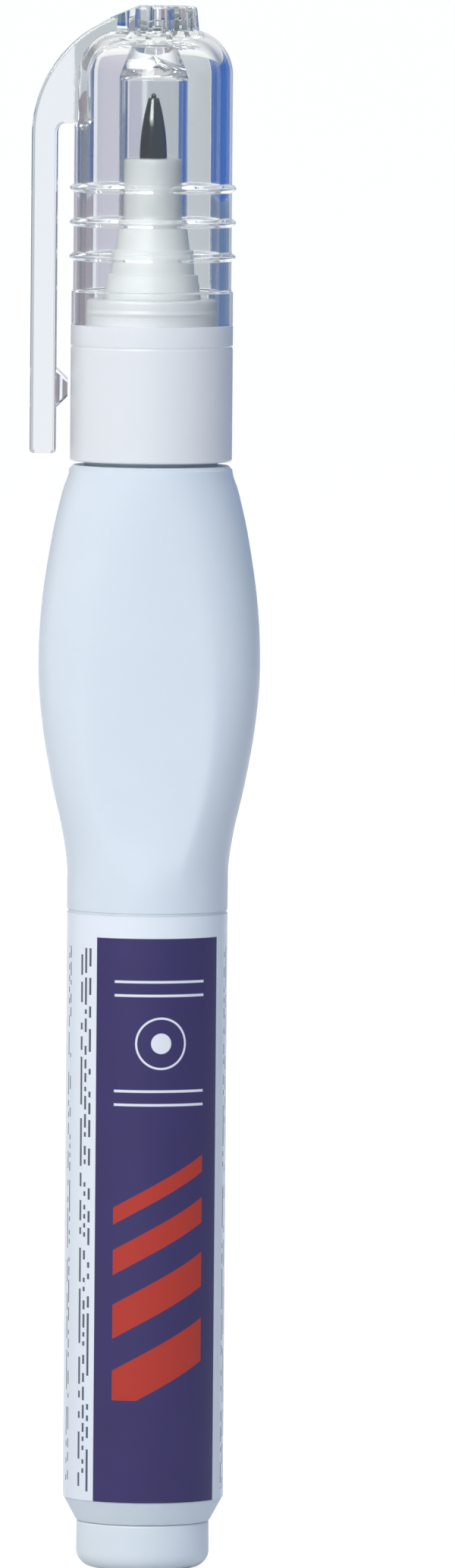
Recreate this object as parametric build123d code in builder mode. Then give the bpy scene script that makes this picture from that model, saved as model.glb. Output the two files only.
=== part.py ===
"""A squeeze correction pen: a soft barrel of white fluid, a needle-valve metal tip and a clear cap.

The pen stands upright on its tail plug.  The origin is the middle of the plug's end face, and +Z
runs along the pen to the tip.  The flat panels of the squeeze bulb face -Y (the front) and +Y, and
the cap's pocket clip is at -X.  All sizes are in millimetres.
"""

import os
from math import asin, cos, degrees, pi, radians, sin, sqrt, tan

from build123d import *

os.makedirs("parts", exist_ok=True)

# Fits and cuts that every piece shares
press_gap = 0.02  # radial room between pieces that are pushed together for good
slide_gap = 0.05  # radial room between pieces that slide on each other
cut_overrun = 1.0  # how far a cut runs past the face that it opens
round_flats = 5  # flats along a turned round, few because the pieces are small

# Barrel: round tube, flattened squeeze bulb, neck
barrel_radius = 7.0
barrel_wall = 1.0
tube_length = 53.9
tube_overlap = 0.5  # how far the tube runs up inside the bulb's foot
label_recess = 0.1  # how far the tube stays inside the bulb's foot, so that the label lies flush
bulb_length = 39.0
bulb_swell = 2.75  # how far the bulb's flanks stand out past the tube
bulb_pinch = 1.05  # how far its panels are pressed in
shoulder_step = 0.05  # how far the bulb's top stands out past the collar
shoulder_edge = 0.35
shoulder_thickness = 1.9
neck_height = 8.0
neck_wall = 1.1
neck_bead = 0.3  # snap bead that holds the collar
neck_bead_width = 1.2
neck_bead_drop = 3.4  # from the neck's rim to its bead
tail_bevel = 1.1  # how far the tail end draws in
tail_bevel_height = 2.0
tail_lip = 0.75  # wall at the open tail end
tail_mouth_depth = 6.0  # narrow mouth that grips the plug
mouth_taper = 0.9

# Sections of the bulb from its foot to its top.  Each station has its place along the bulb, how far
# its width has swollen, how far its depth is pinched, how much its front panel is crowned and the
# lean of its flanks in degrees at the panel's edge.  Equal crown and lean make a plain circle.
bulb_station_shares = (0, 0.05, 0.10, 0.18, 0.28, 0.41, 0.54, 0.69, 0.85, 0.95, 1)
bulb_swell_shares = (0, 0, 0.01, 0.18, 0.51, 0.84, 1, 0.91, 0.56, 0.22, 0)
bulb_pinch_shares = (0, 0, 0.38, 0.80, 0.98, 1, 0.87, 0.60, 0.26, 0.08, 0)
bulb_crown_shares = (0.0865, 0.0865, 0.045, 0.035, 0.030, 0.035, 0.050, 0.055, 0.065, 0.080, 0.0865)
bulb_flank_leans = (24, 24, 26, 30, 29, 24, 18, 15, 17, 21, 24)

# Tail plug
plug_head_height = 4.1
plug_setback = 0.05  # how far the plug's head stays inside the barrel's tail edge
plug_end_round = 1.45
plug_body_height = 6.0
plug_wall = 0.95
plug_floor = 1.5
plug_lead = 0.4
plug_bead = 0.2  # snap bead that holds the plug
plug_bead_width = 1.0
plug_bead_rise = 2.2  # from the barrel's tail edge to the plug's bead

# Mixing ball, loose in the fluid
ball_radius = 2.2
ball_gap = 0.05  # between the ball and the plug's floor

# Label film
label_thickness = 0.08
label_foot_margin = 0.1  # clear of the tail bevel
label_head_margin = 0.3  # clear of the bulb
label_seam_angle = 4  # degrees left open at the back

# Collar and its spigot for the cap
collar_proud = 0.12  # how far the collar stands out past the tube
collar_wall = 1.2
collar_reveal = 0.35  # dark joint line above the bulb
collar_edge = 0.25
collar_roof = 2.9
spigot_height = 2.3
spigot_wall = 1.46
spigot_bead = 0.12  # friction bead that holds the cap
spigot_bead_width = 0.6
spigot_bead_rise = 1.1
spigot_lead = 0.3

# Nozzle, the tip holder
flange_thickness = 1.4
flange_clearance = 0.1
nozzle_plug_depth = 6.0
nozzle_plug_wall = 0.9
nozzle_plug_lead = 0.35
cone_height = 6.4
cone_top_radius = 3.0
cone_step_count = 2
cone_step = 0.3
nozzle_tube_length = 5.9
nozzle_tube_wall = 1.33
nozzle_rim_bevel = 0.3
chamber_radius = 1.9
rib_count = 4  # ribs that keep the ball from closing the nozzle
rib_width = 0.8
rib_bore_radius = 1.5

# Metal tip
tip_shank_radius = 1.2
tip_flange_thickness = 0.8
tip_exposed_length = 5.3
tip_end_radius = 0.45
tip_bore_radius = 0.6
orifice_radius = 0.3
orifice_length = 1.5
valve_seat_length = 1.2

# Valve needle, spring and spring seat
needle_radius = 0.5
needle_point_radius = 0.22
needle_reach = 0.4  # how far the point stands out of the tip, and so its travel
seat_gap = 0.04  # film of fluid left at the closed valve seat
needle_flange_radius = 1.5
needle_flange_thickness = 0.8
needle_flange_gap = 0.3  # from the needle's flange to the metal tip
needle_guide_radius = 0.7
needle_guide_length = 2.4
spring_length = 4.0
spring_radius = 1.15  # to the middle of the wire
spring_wire_radius = 0.14
spring_wire_sides = 4  # few sides, because the wire is hair thin
spring_turns = 5
spring_end_gap = 0.01
spring_points_per_turn = 48  # where the gap between turns is measured
spring_seat_thickness = 1.4
spring_seat_hole_radius = 0.8
spring_seat_notches = 3
spring_seat_notch_width = 0.7
spring_seat_rim = 0.35

# Cap liner, the seal round the tip
liner_wall = 0.42
liner_overlap = 5.3  # how far the liner reaches down the nozzle's tube
liner_headroom = 1.4  # from the needle's point to the start of the liner's roof
liner_roof_rise = 1.8
liner_roof = 1.4
liner_shoulder_radius = 2.1
liner_shoulder_height = 0.4
liner_stem_radius = 1.5
liner_stem_height = 1.8

# Cap: skirt, dome, crown, grip rings and mouth band
cap_setback = 0.17  # how far the cap's skirt stays inside the collar's outline
cap_wall = 1.05
cap_mouth_band = 0.15
cap_mouth_band_height = 2.9
cap_mouth_lead = 0.3
dome_radius = 4.0
crown_height = 2.0
crown_foot_radius = 3.95
crown_top_radius = 3.75
crown_edge = 0.3
crown_core_radius = 2.6
crown_flat = 1.3  # from the axis to where the crown starts to fall towards the clip
crown_fall_angle = 22
vent_count = 11
vent_width = 0.55
vent_overrun = 0.2  # how far a vent runs past the crown's foot
vent_start_angle = -120
vent_sweep_angle = 240
ring_count = 3
ring_first = 6.0  # from the cap's mouth to the lowest ring
ring_pitch = 3.0
ring_height = 0.36
ring_width = 0.7

# Pocket clip, one moulding with the cap
clip_gap = 1.4  # slot between the clip and the cap's skirt
clip_thickness = 2.3
clip_width = 4.4
clip_end_gap = 0.6  # from the collar's foot up to the clip's end
clip_slot_top = 8.4  # from the cap's top edge down to the slot's head
clip_arch_rise = 1.8  # how far the arch stands over the cap's top
clip_arch_radius = 11.2
clip_edge_bevel = 0.6
clip_end_bevel = 0.4
clip_root_round = 0.6
clip_bead_length = 4.0
clip_bead_clearance = 0.25
clip_bead_rise = 5.8  # from the clip's end to the middle of the bead

# Radii that follow from the sizes above
tube_bore = barrel_radius - barrel_wall
bulb_foot_radius = barrel_radius + label_recess
bulb_half_width = barrel_radius + bulb_swell
bulb_half_depth = barrel_radius - bulb_pinch
tail_radius = barrel_radius - tail_bevel
tail_mouth_radius = tail_radius - tail_lip
collar_radius = barrel_radius + collar_proud
shoulder_radius = collar_radius + shoulder_step
collar_bore = collar_radius - collar_wall
neck_radius = collar_bore - press_gap
neck_bore = neck_radius - neck_wall
tip_bore_in_nozzle = tip_shank_radius + press_gap
nozzle_tube_radius = tip_bore_in_nozzle + nozzle_tube_wall
liner_bore = nozzle_tube_radius + slide_gap
liner_radius = liner_bore + liner_wall
cap_radius = collar_radius - cap_setback
cap_bore = cap_radius - cap_wall
dome_middle = cap_radius - dome_radius
spigot_radius = cap_bore - slide_gap - spigot_bead
nozzle_hole = spigot_radius - spigot_wall
nozzle_body_radius = nozzle_hole - press_gap
clip_inner = cap_radius + clip_gap
clip_outer = clip_inner + clip_thickness
bead_reach = collar_radius + clip_bead_clearance

# Heights that follow from the sizes above
tail_z = plug_head_height
mouth_top_z = tail_z + tail_mouth_depth
plug_bead_z = tail_z + plug_bead_rise
bulb_z = tail_z + tube_length
shoulder_z = bulb_z + bulb_length
neck_top_z = shoulder_z + neck_height
neck_bead_z = neck_top_z - neck_bead_drop
flange_top_z = neck_top_z + flange_thickness
collar_foot_z = shoulder_z + collar_reveal
collar_top_z = flange_top_z + collar_roof
spigot_top_z = collar_top_z + spigot_height
cone_top_z = spigot_top_z + cone_height
nozzle_top_z = cone_top_z + nozzle_tube_length
tip_end_z = nozzle_top_z + tip_exposed_length
needle_end_z = tip_end_z + needle_reach
tip_foot_z = cone_top_z - tip_flange_thickness
needle_flange_z = tip_foot_z - needle_flange_gap - needle_flange_thickness
spring_foot_z = needle_flange_z - spring_length
spring_seat_z = spring_foot_z - spring_seat_thickness
liner_roof_z = needle_end_z + liner_headroom
ceiling_z = liner_roof_z + liner_roof_rise + liner_roof
cap_top_z = ceiling_z + cap_wall
dome_z = cap_top_z - dome_radius
crown_top_z = cap_top_z + crown_height


def ridge(radius, middle_z, proud, width):
    """Profile points, going up, of a ridge that stands proud of a round wall, or of its groove."""
    return [(radius, middle_z - width / 2), (radius + proud, middle_z), (radius, middle_z + width / 2)]


def round_points(middle_x, middle_z, radius, from_angle, to_angle):
    """Profile points along an arc between two angles in degrees."""
    points = []
    for flat in range(round_flats + 1):
        angle = radians(from_angle + (to_angle - from_angle) * flat / round_flats)
        points.append((middle_x + radius * cos(angle), middle_z + radius * sin(angle)))
    return points


# Squeeze bulb sections
def bulb_section(height, half_width, half_depth, crown_share, flank_lean):
    """One cross-section of the bulb: crowned front and back panels between two round flanks."""
    edge_y = half_depth * (1 - crown_share)
    edge_x = half_width - edge_y * tan(radians(90 - flank_lean) / 2)
    with BuildSketch(Plane.XY.offset(height)) as section:
        with BuildLine():
            ThreePointArc((-edge_x, -edge_y), (0, -half_depth), (edge_x, -edge_y))
            ThreePointArc((edge_x, -edge_y), (half_width, 0), (edge_x, edge_y))
            ThreePointArc((edge_x, edge_y), (0, half_depth), (-edge_x, edge_y))
            ThreePointArc((-edge_x, edge_y), (-half_width, 0), (-edge_x, -edge_y))
        make_face()
    return section.sketch


def bulb_sections(inset, last_height):
    """The bulb's sections, drawn in by an inset, up to and with the one at last_height."""
    sections = []
    stations = zip(
        bulb_station_shares, bulb_swell_shares, bulb_pinch_shares, bulb_crown_shares, bulb_flank_leans
    )
    for place, swell, pinch, crown, lean in stations:
        round_radius = bulb_foot_radius + place * (shoulder_radius - bulb_foot_radius)
        half_width = round_radius + swell * (bulb_half_width - round_radius) - inset
        half_depth = round_radius + pinch * (bulb_half_depth - round_radius) - inset
        height = bulb_z + place * last_height
        sections.append(bulb_section(height, half_width, half_depth, crown, lean))
    return sections


# Space for the fluid inside the barrel: tail mouth with the plug's groove, tube, bulb and neck
with BuildPart() as fluid_space:
    loft(bulb_sections(barrel_wall, bulb_length - shoulder_thickness), ruled=True)
    with BuildSketch(Plane.XZ):
        with BuildLine():
            Polyline(
                (0, tail_z - cut_overrun),
                (tail_mouth_radius, tail_z - cut_overrun),
                *ridge(tail_mouth_radius, plug_bead_z, plug_bead, plug_bead_width + press_gap),
                (tail_mouth_radius, mouth_top_z - mouth_taper),
                (tube_bore, mouth_top_z),
                (tube_bore, bulb_z + tube_overlap),
                (0, bulb_z + tube_overlap),
                close=True,
            )
        make_face()
    revolve(axis=Axis.Z)
    with BuildSketch(Plane.XY.offset(neck_top_z + cut_overrun)):
        Circle(neck_bore)
    extrude(amount=-(neck_height + shoulder_thickness + 2 * cut_overrun))

# Barrel: the bulb with its bevelled shoulder, the round tube below it and the neck above it
with BuildPart() as barrel:
    loft(bulb_sections(0, bulb_length))
    with BuildSketch(Plane.XZ):
        with BuildLine():
            Polyline(
                (shoulder_radius - shoulder_edge - cut_overrun, shoulder_z + cut_overrun),
                (shoulder_radius + cut_overrun, shoulder_z + cut_overrun),
                (shoulder_radius + cut_overrun, shoulder_z - shoulder_edge - cut_overrun),
                close=True,
            )
        make_face()
    revolve(axis=Axis.Z, mode=Mode.SUBTRACT)
    with BuildSketch(Plane.XZ):
        with BuildLine():
            Polyline(
                (0, tail_z),
                (tail_radius, tail_z),
                (barrel_radius, tail_z + tail_bevel_height),
                (barrel_radius, bulb_z + tube_overlap),
                (0, bulb_z + tube_overlap),
                close=True,
            )
        make_face()
    revolve(axis=Axis.Z)
    with BuildSketch(Plane.XZ):
        with BuildLine():
            Polyline(
                (0, shoulder_z - shoulder_thickness / 2),
                (neck_radius, shoulder_z - shoulder_thickness / 2),
                *ridge(neck_radius, neck_bead_z, neck_bead, neck_bead_width),
                (neck_radius, neck_top_z),
                (0, neck_top_z),
                close=True,
            )
        make_face()
    revolve(axis=Axis.Z)
    add(fluid_space.part, mode=Mode.SUBTRACT)

# Tail plug: a cup that closes the barrel, open to the fluid
plug_head_radius = tail_radius - plug_setback
plug_body_radius = tail_mouth_radius - press_gap
plug_top_z = tail_z + plug_body_height
with BuildPart() as tail_plug:
    with BuildSketch(Plane.XZ):
        with BuildLine():
            Polyline(
                (0, 0),
                *round_points(plug_head_radius - plug_end_round, plug_end_round, plug_end_round, 270, 360),
                (plug_head_radius, tail_z),
                (plug_body_radius, tail_z),
                *ridge(plug_body_radius, plug_bead_z, plug_bead, plug_bead_width),
                (plug_body_radius, plug_top_z - plug_lead),
                (plug_body_radius - plug_lead, plug_top_z),
                (plug_body_radius - plug_wall, plug_top_z),
                (plug_body_radius - plug_wall, plug_floor),
                (0, plug_floor),
                close=True,
            )
        make_face()
    revolve(axis=Axis.Z)

# Mixing ball, at rest on the plug's floor
with BuildPart() as mixing_ball:
    with Locations((0, 0, plug_floor + ball_gap + ball_radius)):
        Sphere(ball_radius)

# Label film, wrapped round the tube with its seam at the back
label_foot_z = tail_z + tail_bevel_height + label_foot_margin
label_head_z = bulb_z - label_head_margin
seam_plane = Plane.XZ.rotated((0, 0, 90 + label_seam_angle / 2))
with BuildPart() as label:
    with BuildSketch(seam_plane):
        with BuildLine():
            Polyline(
                (barrel_radius, label_foot_z),
                (barrel_radius + label_thickness, label_foot_z),
                (barrel_radius + label_thickness, label_head_z),
                (barrel_radius, label_head_z),
                close=True,
            )
        make_face()
    revolve(axis=Axis.Z, revolution_arc=360 - label_seam_angle)

# Collar: skirt over the neck, roof over the nozzle's flange, spigot for the cap
with BuildPart() as collar:
    with BuildSketch(Plane.XZ):
        with BuildLine():
            Polyline(
                (collar_bore, collar_foot_z),
                (collar_radius - collar_edge, collar_foot_z),
                (collar_radius, collar_foot_z + collar_edge),
                (collar_radius, collar_top_z - collar_edge),
                (collar_radius - collar_edge, collar_top_z),
                (spigot_radius, collar_top_z),
                *ridge(spigot_radius, collar_top_z + spigot_bead_rise, spigot_bead, spigot_bead_width),
                (spigot_radius, spigot_top_z - spigot_lead),
                (spigot_radius - spigot_lead, spigot_top_z),
                (nozzle_hole, spigot_top_z),
                (nozzle_hole, flange_top_z),
                (collar_bore, flange_top_z),
                *reversed(ridge(collar_bore, neck_bead_z, neck_bead, neck_bead_width + press_gap)),
                close=True,
            )
        make_face()
    revolve(axis=Axis.Z)

# Nozzle: plug in the neck, clamped flange, stepped cone, tube for the metal tip
nozzle_plug_radius = neck_bore - press_gap
nozzle_plug_bore = nozzle_plug_radius - nozzle_plug_wall
nozzle_foot_z = neck_top_z - nozzle_plug_depth
flange_radius = collar_bore - flange_clearance
cone_points = [(nozzle_body_radius, spigot_top_z)]
for step in range(cone_step_count):
    share = (step + 1) / (cone_step_count + 1)
    step_radius = nozzle_body_radius + share * (cone_top_radius - nozzle_body_radius)
    step_z = spigot_top_z + share * cone_height
    cone_points.append((step_radius + cone_step / 2, step_z))
    cone_points.append((step_radius - cone_step / 2, step_z))
cone_points.append((cone_top_radius, cone_top_z))
with BuildPart() as nozzle:
    with BuildSketch(Plane.XZ):
        with BuildLine():
            Polyline(
                (nozzle_plug_bore, nozzle_foot_z),
                (nozzle_plug_radius - nozzle_plug_lead, nozzle_foot_z),
                (nozzle_plug_radius, nozzle_foot_z + nozzle_plug_lead),
                (nozzle_plug_radius, neck_top_z),
                (flange_radius, neck_top_z),
                (flange_radius, flange_top_z),
                (nozzle_body_radius, flange_top_z),
                *cone_points,
                (nozzle_tube_radius, cone_top_z),
                (nozzle_tube_radius, nozzle_top_z - nozzle_rim_bevel),
                (nozzle_tube_radius - nozzle_rim_bevel, nozzle_top_z),
                (tip_bore_in_nozzle, nozzle_top_z),
                (tip_bore_in_nozzle, cone_top_z),
                (chamber_radius, cone_top_z),
                (chamber_radius, spring_seat_z),
                (nozzle_plug_bore, neck_top_z),
                close=True,
            )
        make_face()
    revolve(axis=Axis.Z)
    rib_length = nozzle_plug_bore + nozzle_plug_wall / 2 - rib_bore_radius
    with BuildSketch(Plane.XY.offset(nozzle_foot_z)):
        with PolarLocations(rib_bore_radius + rib_length / 2, rib_count):
            Rectangle(rib_length, rib_width)
    extrude(amount=nozzle_plug_depth)

# Metal tip: flange seated from behind, shank, ogive nose, valve seat and orifice
orifice_foot_z = tip_end_z - orifice_length
valve_seat_z = orifice_foot_z - valve_seat_length
tip_flange_radius = chamber_radius - press_gap
tip_draw = tip_shank_radius - tip_end_radius
nose_radius = (tip_draw**2 + tip_exposed_length**2) / (2 * tip_draw)
nose_angle = degrees(asin(tip_exposed_length / nose_radius))
with BuildPart() as metal_tip:
    with BuildSketch(Plane.XZ):
        with BuildLine():
            Polyline(
                (orifice_radius, tip_end_z),
                (orifice_radius, orifice_foot_z),
                (tip_bore_radius, valve_seat_z),
                (tip_bore_radius, tip_foot_z),
                (tip_flange_radius, tip_foot_z),
                (tip_flange_radius, cone_top_z),
                (tip_shank_radius, cone_top_z),
                *round_points(tip_shank_radius - nose_radius, nozzle_top_z, nose_radius, 0, nose_angle),
                close=True,
            )
        make_face()
    revolve(axis=Axis.Z)

# Valve needle: guide in the spring, flange, rod, cone that closes the seat, point
seat_slope = (tip_bore_radius - orifice_radius) / valve_seat_length
needle_cone_z = valve_seat_z + (tip_bore_radius - needle_radius - seat_gap) / seat_slope
needle_cone_top_z = needle_cone_z + (needle_radius - needle_point_radius) / seat_slope
needle_flange_top_z = needle_flange_z + needle_flange_thickness
with BuildPart() as valve_needle:
    with BuildSketch(Plane.XZ):
        with BuildLine():
            Polyline(
                (0, needle_flange_z - needle_guide_length),
                (needle_guide_radius, needle_flange_z - needle_guide_length),
                (needle_guide_radius, needle_flange_z),
                (needle_flange_radius, needle_flange_z),
                (needle_flange_radius, needle_flange_top_z),
                (needle_radius, needle_flange_top_z),
                (needle_radius, needle_cone_z),
                (needle_point_radius, needle_cone_top_z),
                (needle_point_radius, needle_end_z - needle_point_radius),
            )
            TangentArc(
                (needle_point_radius, needle_end_z - needle_point_radius),
                (0, needle_end_z),
                tangent=(0, 1),
            )
            Line((0, needle_end_z), (0, needle_flange_z - needle_guide_length))
        make_face()
    revolve(axis=Axis.Z)

# Valve spring: one wire wound as a helix, each half turn a pair of arcs that meet smoothly
coil_foot_z = spring_foot_z + spring_wire_radius + spring_end_gap
coil_height = spring_length - 2 * (spring_wire_radius + spring_end_gap)
coil_pitch = coil_height / spring_turns


def coil_point(angle):
    """A point on the middle of the spring's wire, at an angle in radians from its foot."""
    height = coil_foot_z + coil_pitch * angle / (2 * pi)
    return Vector(spring_radius * cos(angle), spring_radius * sin(angle), height)


def coil_direction(angle):
    """The wire's direction at that angle."""
    rise = coil_pitch / (2 * pi)
    return Vector(-spring_radius * sin(angle), spring_radius * cos(angle), rise).normalized()


def arc_pair_joint(start, start_way, end, end_way):
    """The point where two equal-armed arcs between two directed points meet."""
    chord = end - start
    reach = chord.dot(start_way + end_way)
    bend = 2 * (1 - start_way.dot(end_way))
    arm = (sqrt(reach * reach + bend * chord.dot(chord)) - reach) / bend
    return (start + start_way * arm + end - end_way * arm) * (1 / 2)


with BuildPart() as valve_spring:
    with BuildLine() as wire:
        for half_turn in range(2 * spring_turns):
            here = coil_point(pi * half_turn)
            there = coil_point(pi * (half_turn + 1))
            way_here = coil_direction(pi * half_turn)
            way_there = coil_direction(pi * (half_turn + 1))
            joint = arc_pair_joint(here, way_here, there, way_there)
            first_arc = TangentArc(here, joint, tangent=way_here)
            TangentArc(joint, there, tangent=first_arc % 1)
    with BuildSketch(Plane(origin=wire.line @ 0, z_dir=wire.line % 0)):
        RegularPolygon(spring_wire_radius, spring_wire_sides)
    sweep(path=wire.line)


def least_turn_gap():
    """Least clear gap between the spring's turns, measured on points along its wire."""
    count = spring_turns * spring_points_per_turn
    points = [coil_point(2 * pi * step / spring_points_per_turn) for step in range(count + 1)]
    gaps = []
    for place, here in enumerate(points):
        for there in points[place + spring_points_per_turn // 2 :]:
            gaps.append((there - here).length)
    return min(gaps) - 2 * spring_wire_radius


print(f"valve spring: least gap between turns {least_turn_gap():.2f} mm")

# Spring seat: bush pressed into the nozzle behind the spring, notched so that fluid passes
with BuildPart() as spring_seat:
    with BuildSketch(Plane.XY.offset(spring_seat_z)):
        Circle(chamber_radius - press_gap)
        Circle(spring_seat_hole_radius, mode=Mode.SUBTRACT)
    extrude(amount=spring_seat_thickness)
    notch_depth = chamber_radius - spring_seat_rim - spring_seat_hole_radius
    with BuildSketch(Plane.XY.offset(spring_seat_z)):
        with PolarLocations(spring_seat_hole_radius, spring_seat_notches):
            Rectangle(2 * notch_depth, spring_seat_notch_width)
    extrude(amount=spring_seat_thickness, mode=Mode.SUBTRACT)

# Cap liner: sleeve over the nozzle's tube, closed roof, stem pressed into the cap's crown
with BuildPart() as cap_liner:
    with BuildSketch(Plane.XZ):
        with BuildLine():
            liner_foot_z = nozzle_top_z - liner_overlap
            shoulder_foot_z = ceiling_z - liner_shoulder_height
            Polyline(
                (0, ceiling_z + liner_stem_height),
                (liner_stem_radius, ceiling_z + liner_stem_height),
                (liner_stem_radius, ceiling_z),
                (liner_shoulder_radius, ceiling_z),
                (liner_shoulder_radius, shoulder_foot_z),
                (liner_radius, liner_roof_z),
                (liner_radius, liner_foot_z),
                (liner_bore, liner_foot_z),
                (liner_bore, liner_roof_z),
                (0, liner_roof_z + liner_roof_rise),
                close=True,
            )
        make_face()
    revolve(axis=Axis.Z)

# Cap with its clip
clip_end_z = collar_foot_z + clip_end_gap
slot_top_z = cap_top_z - clip_slot_top
arch_centre_z = cap_top_z + clip_arch_rise - clip_arch_radius
arch_middle_x = -clip_outer + clip_arch_radius
bead_z = clip_end_z + clip_bead_rise
ring_points = []
for ring in range(ring_count):
    ring_z = collar_top_z + ring_first + ring * ring_pitch
    ring_points += ridge(cap_radius, ring_z, ring_height, ring_width)
with BuildPart() as cap:
    # The clip, an arched plate
    with BuildSketch(Plane.XZ) as clip_outline:
        with BuildLine():
            Polyline(
                (-clip_inner, bead_z - clip_bead_length / 2),
                (-clip_inner, clip_end_z),
                (-clip_outer, clip_end_z),
                (-clip_outer, arch_centre_z),
            )
            ThreePointArc(
                (-clip_outer, arch_centre_z),
                (
                    arch_middle_x - clip_arch_radius * cos(radians(45)),
                    arch_centre_z + clip_arch_radius * sin(radians(45)),
                ),
                (arch_middle_x, arch_centre_z + clip_arch_radius),
            )
            Polyline(
                (arch_middle_x, arch_centre_z + clip_arch_radius),
                (arch_middle_x, slot_top_z),
                (-clip_inner, slot_top_z),
                (-clip_inner, bead_z + clip_bead_length / 2),
            )
            ThreePointArc(
                (-clip_inner, bead_z + clip_bead_length / 2),
                (-bead_reach, bead_z),
                (-clip_inner, bead_z - clip_bead_length / 2),
            )
        make_face()
        chamfer(clip_outline.vertices().group_by(Axis.Y)[0], clip_end_bevel)
        fillet(clip_outline.vertices().sort_by_distance((-clip_inner, slot_top_z))[0], clip_root_round)
    extrude(amount=clip_width / 2, both=True)
    chamfer(cap.edges().filter_by(Axis.Z).group_by(Axis.X)[0], clip_edge_bevel)
    # The outside: skirt, mouth band, grip rings, dome and crown
    with BuildSketch(Plane.XZ):
        with BuildLine():
            Polyline(
                (0, collar_top_z),
                (cap_radius + cap_mouth_band, collar_top_z),
                (cap_radius + cap_mouth_band, collar_top_z + cap_mouth_band_height),
                (cap_radius, collar_top_z + cap_mouth_band_height + cap_mouth_band),
                *ring_points,
                *round_points(dome_middle, dome_z, dome_radius, 0, 90),
                (0, cap_top_z),
                close=True,
            )
        make_face()
    revolve(axis=Axis.Z)
    with BuildSketch(Plane.XZ):
        with BuildLine():
            Polyline(
                (0, dome_z),
                (crown_foot_radius, dome_z),
                (crown_foot_radius, cap_top_z),
                (crown_top_radius, crown_top_z - crown_edge),
                (crown_top_radius - crown_edge, crown_top_z),
                (0, crown_top_z),
                close=True,
            )
        make_face()
    revolve(axis=Axis.Z)
    # The crown falls away to the clip's arch
    with BuildSketch(Plane.XZ):
        with BuildLine():
            fall = (clip_outer - crown_flat) * tan(radians(crown_fall_angle))
            Polyline(
                (-crown_flat, crown_top_z),
                (-clip_outer, crown_top_z - fall),
                (-clip_outer, crown_top_z + cut_overrun),
                (-crown_flat, crown_top_z + cut_overrun),
                close=True,
            )
        make_face()
    extrude(amount=cap_radius, both=True, mode=Mode.SUBTRACT)
    # The inside, the liner's socket and the vents through the crown
    with BuildSketch(Plane.XZ):
        with BuildLine():
            Polyline(
                (0, collar_top_z),
                (cap_bore + cap_mouth_lead, collar_top_z),
                (cap_bore, collar_top_z + cap_mouth_lead),
                *round_points(dome_middle, dome_z, dome_radius - cap_wall, 0, 90),
                (0, ceiling_z),
                close=True,
            )
        make_face()
    revolve(axis=Axis.Z, mode=Mode.SUBTRACT)
    with BuildSketch(Plane.XY.offset(ceiling_z - cut_overrun)):
        Circle(liner_stem_radius)
    extrude(amount=cut_overrun + liner_stem_height, mode=Mode.SUBTRACT)
    vent_length = crown_foot_radius - crown_core_radius + vent_overrun
    with BuildSketch(Plane.XY.offset(ceiling_z - cut_overrun)):
        with PolarLocations(
            crown_core_radius + vent_length / 2,
            vent_count,
            start_angle=vent_start_angle,
            angular_range=vent_sweep_angle,
            endpoint=True,
        ):
            Rectangle(vent_length, vent_width)
    extrude(amount=cut_overrun + cap_wall + crown_height + cut_overrun, mode=Mode.SUBTRACT)

# Every piece to its own file
pieces = {
    "barrel": barrel,
    "tail_plug": tail_plug,
    "mixing_ball": mixing_ball,
    "label": label,
    "collar": collar,
    "nozzle": nozzle,
    "metal_tip": metal_tip,
    "valve_needle": valve_needle,
    "valve_spring": valve_spring,
    "spring_seat": spring_seat,
    "cap_liner": cap_liner,
    "cap": cap,
}
for name, piece in pieces.items():
    piece.part.label = name
    export_step(piece.part, f"parts/{name}.step")
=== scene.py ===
# %% [markdown]
# # A squeeze correction pen
# The pen stands on its tail.  A soft white barrel holds the fluid, its wide bulb is pressed to push the
# fluid out, and a metal tip with a needle valve sits under a clear cap with a pocket clip.  The packed
# model gives every piece its place.  This lesson builds the finer meshes and the finishes around it.

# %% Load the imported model
import math

import bmesh
import bpy
from mathutils import Euler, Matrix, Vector


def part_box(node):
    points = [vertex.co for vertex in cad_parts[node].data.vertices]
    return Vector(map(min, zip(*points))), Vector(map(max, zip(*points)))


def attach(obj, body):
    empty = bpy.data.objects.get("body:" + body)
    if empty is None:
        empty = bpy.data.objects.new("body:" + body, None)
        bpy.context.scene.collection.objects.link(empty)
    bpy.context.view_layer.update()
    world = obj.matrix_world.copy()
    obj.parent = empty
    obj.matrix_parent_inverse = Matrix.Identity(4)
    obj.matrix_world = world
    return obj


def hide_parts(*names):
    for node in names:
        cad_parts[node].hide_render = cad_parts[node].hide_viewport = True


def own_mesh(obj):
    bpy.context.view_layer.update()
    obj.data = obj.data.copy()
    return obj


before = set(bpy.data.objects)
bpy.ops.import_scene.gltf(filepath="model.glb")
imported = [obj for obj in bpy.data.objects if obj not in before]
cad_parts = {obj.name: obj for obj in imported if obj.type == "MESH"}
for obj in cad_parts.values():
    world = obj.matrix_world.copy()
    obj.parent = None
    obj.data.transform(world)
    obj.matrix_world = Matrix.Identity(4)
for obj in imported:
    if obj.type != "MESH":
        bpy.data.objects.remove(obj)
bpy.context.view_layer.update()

print("nodes:", ", ".join(sorted(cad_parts)))

# %% [markdown]
# ## Measures
# Blender works in metres, but a pen is thought of in millimetres, so every size below is in millimetres
# and one factor turns it into metres where a mesh is made.  The heights and outer radii come from the
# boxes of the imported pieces, so a piece can't drift from the part that it stands for.

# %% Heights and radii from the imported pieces
MM = 0.001


def box_mm(node):
    """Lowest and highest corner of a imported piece, in millimetres."""
    low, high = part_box(node)
    return low / MM, high / MM


def span(node):
    """Outer radius, lowest and highest point of a round piece, in millimetres."""
    low, high = box_mm(node)
    return high.y, low.z, high.z


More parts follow.
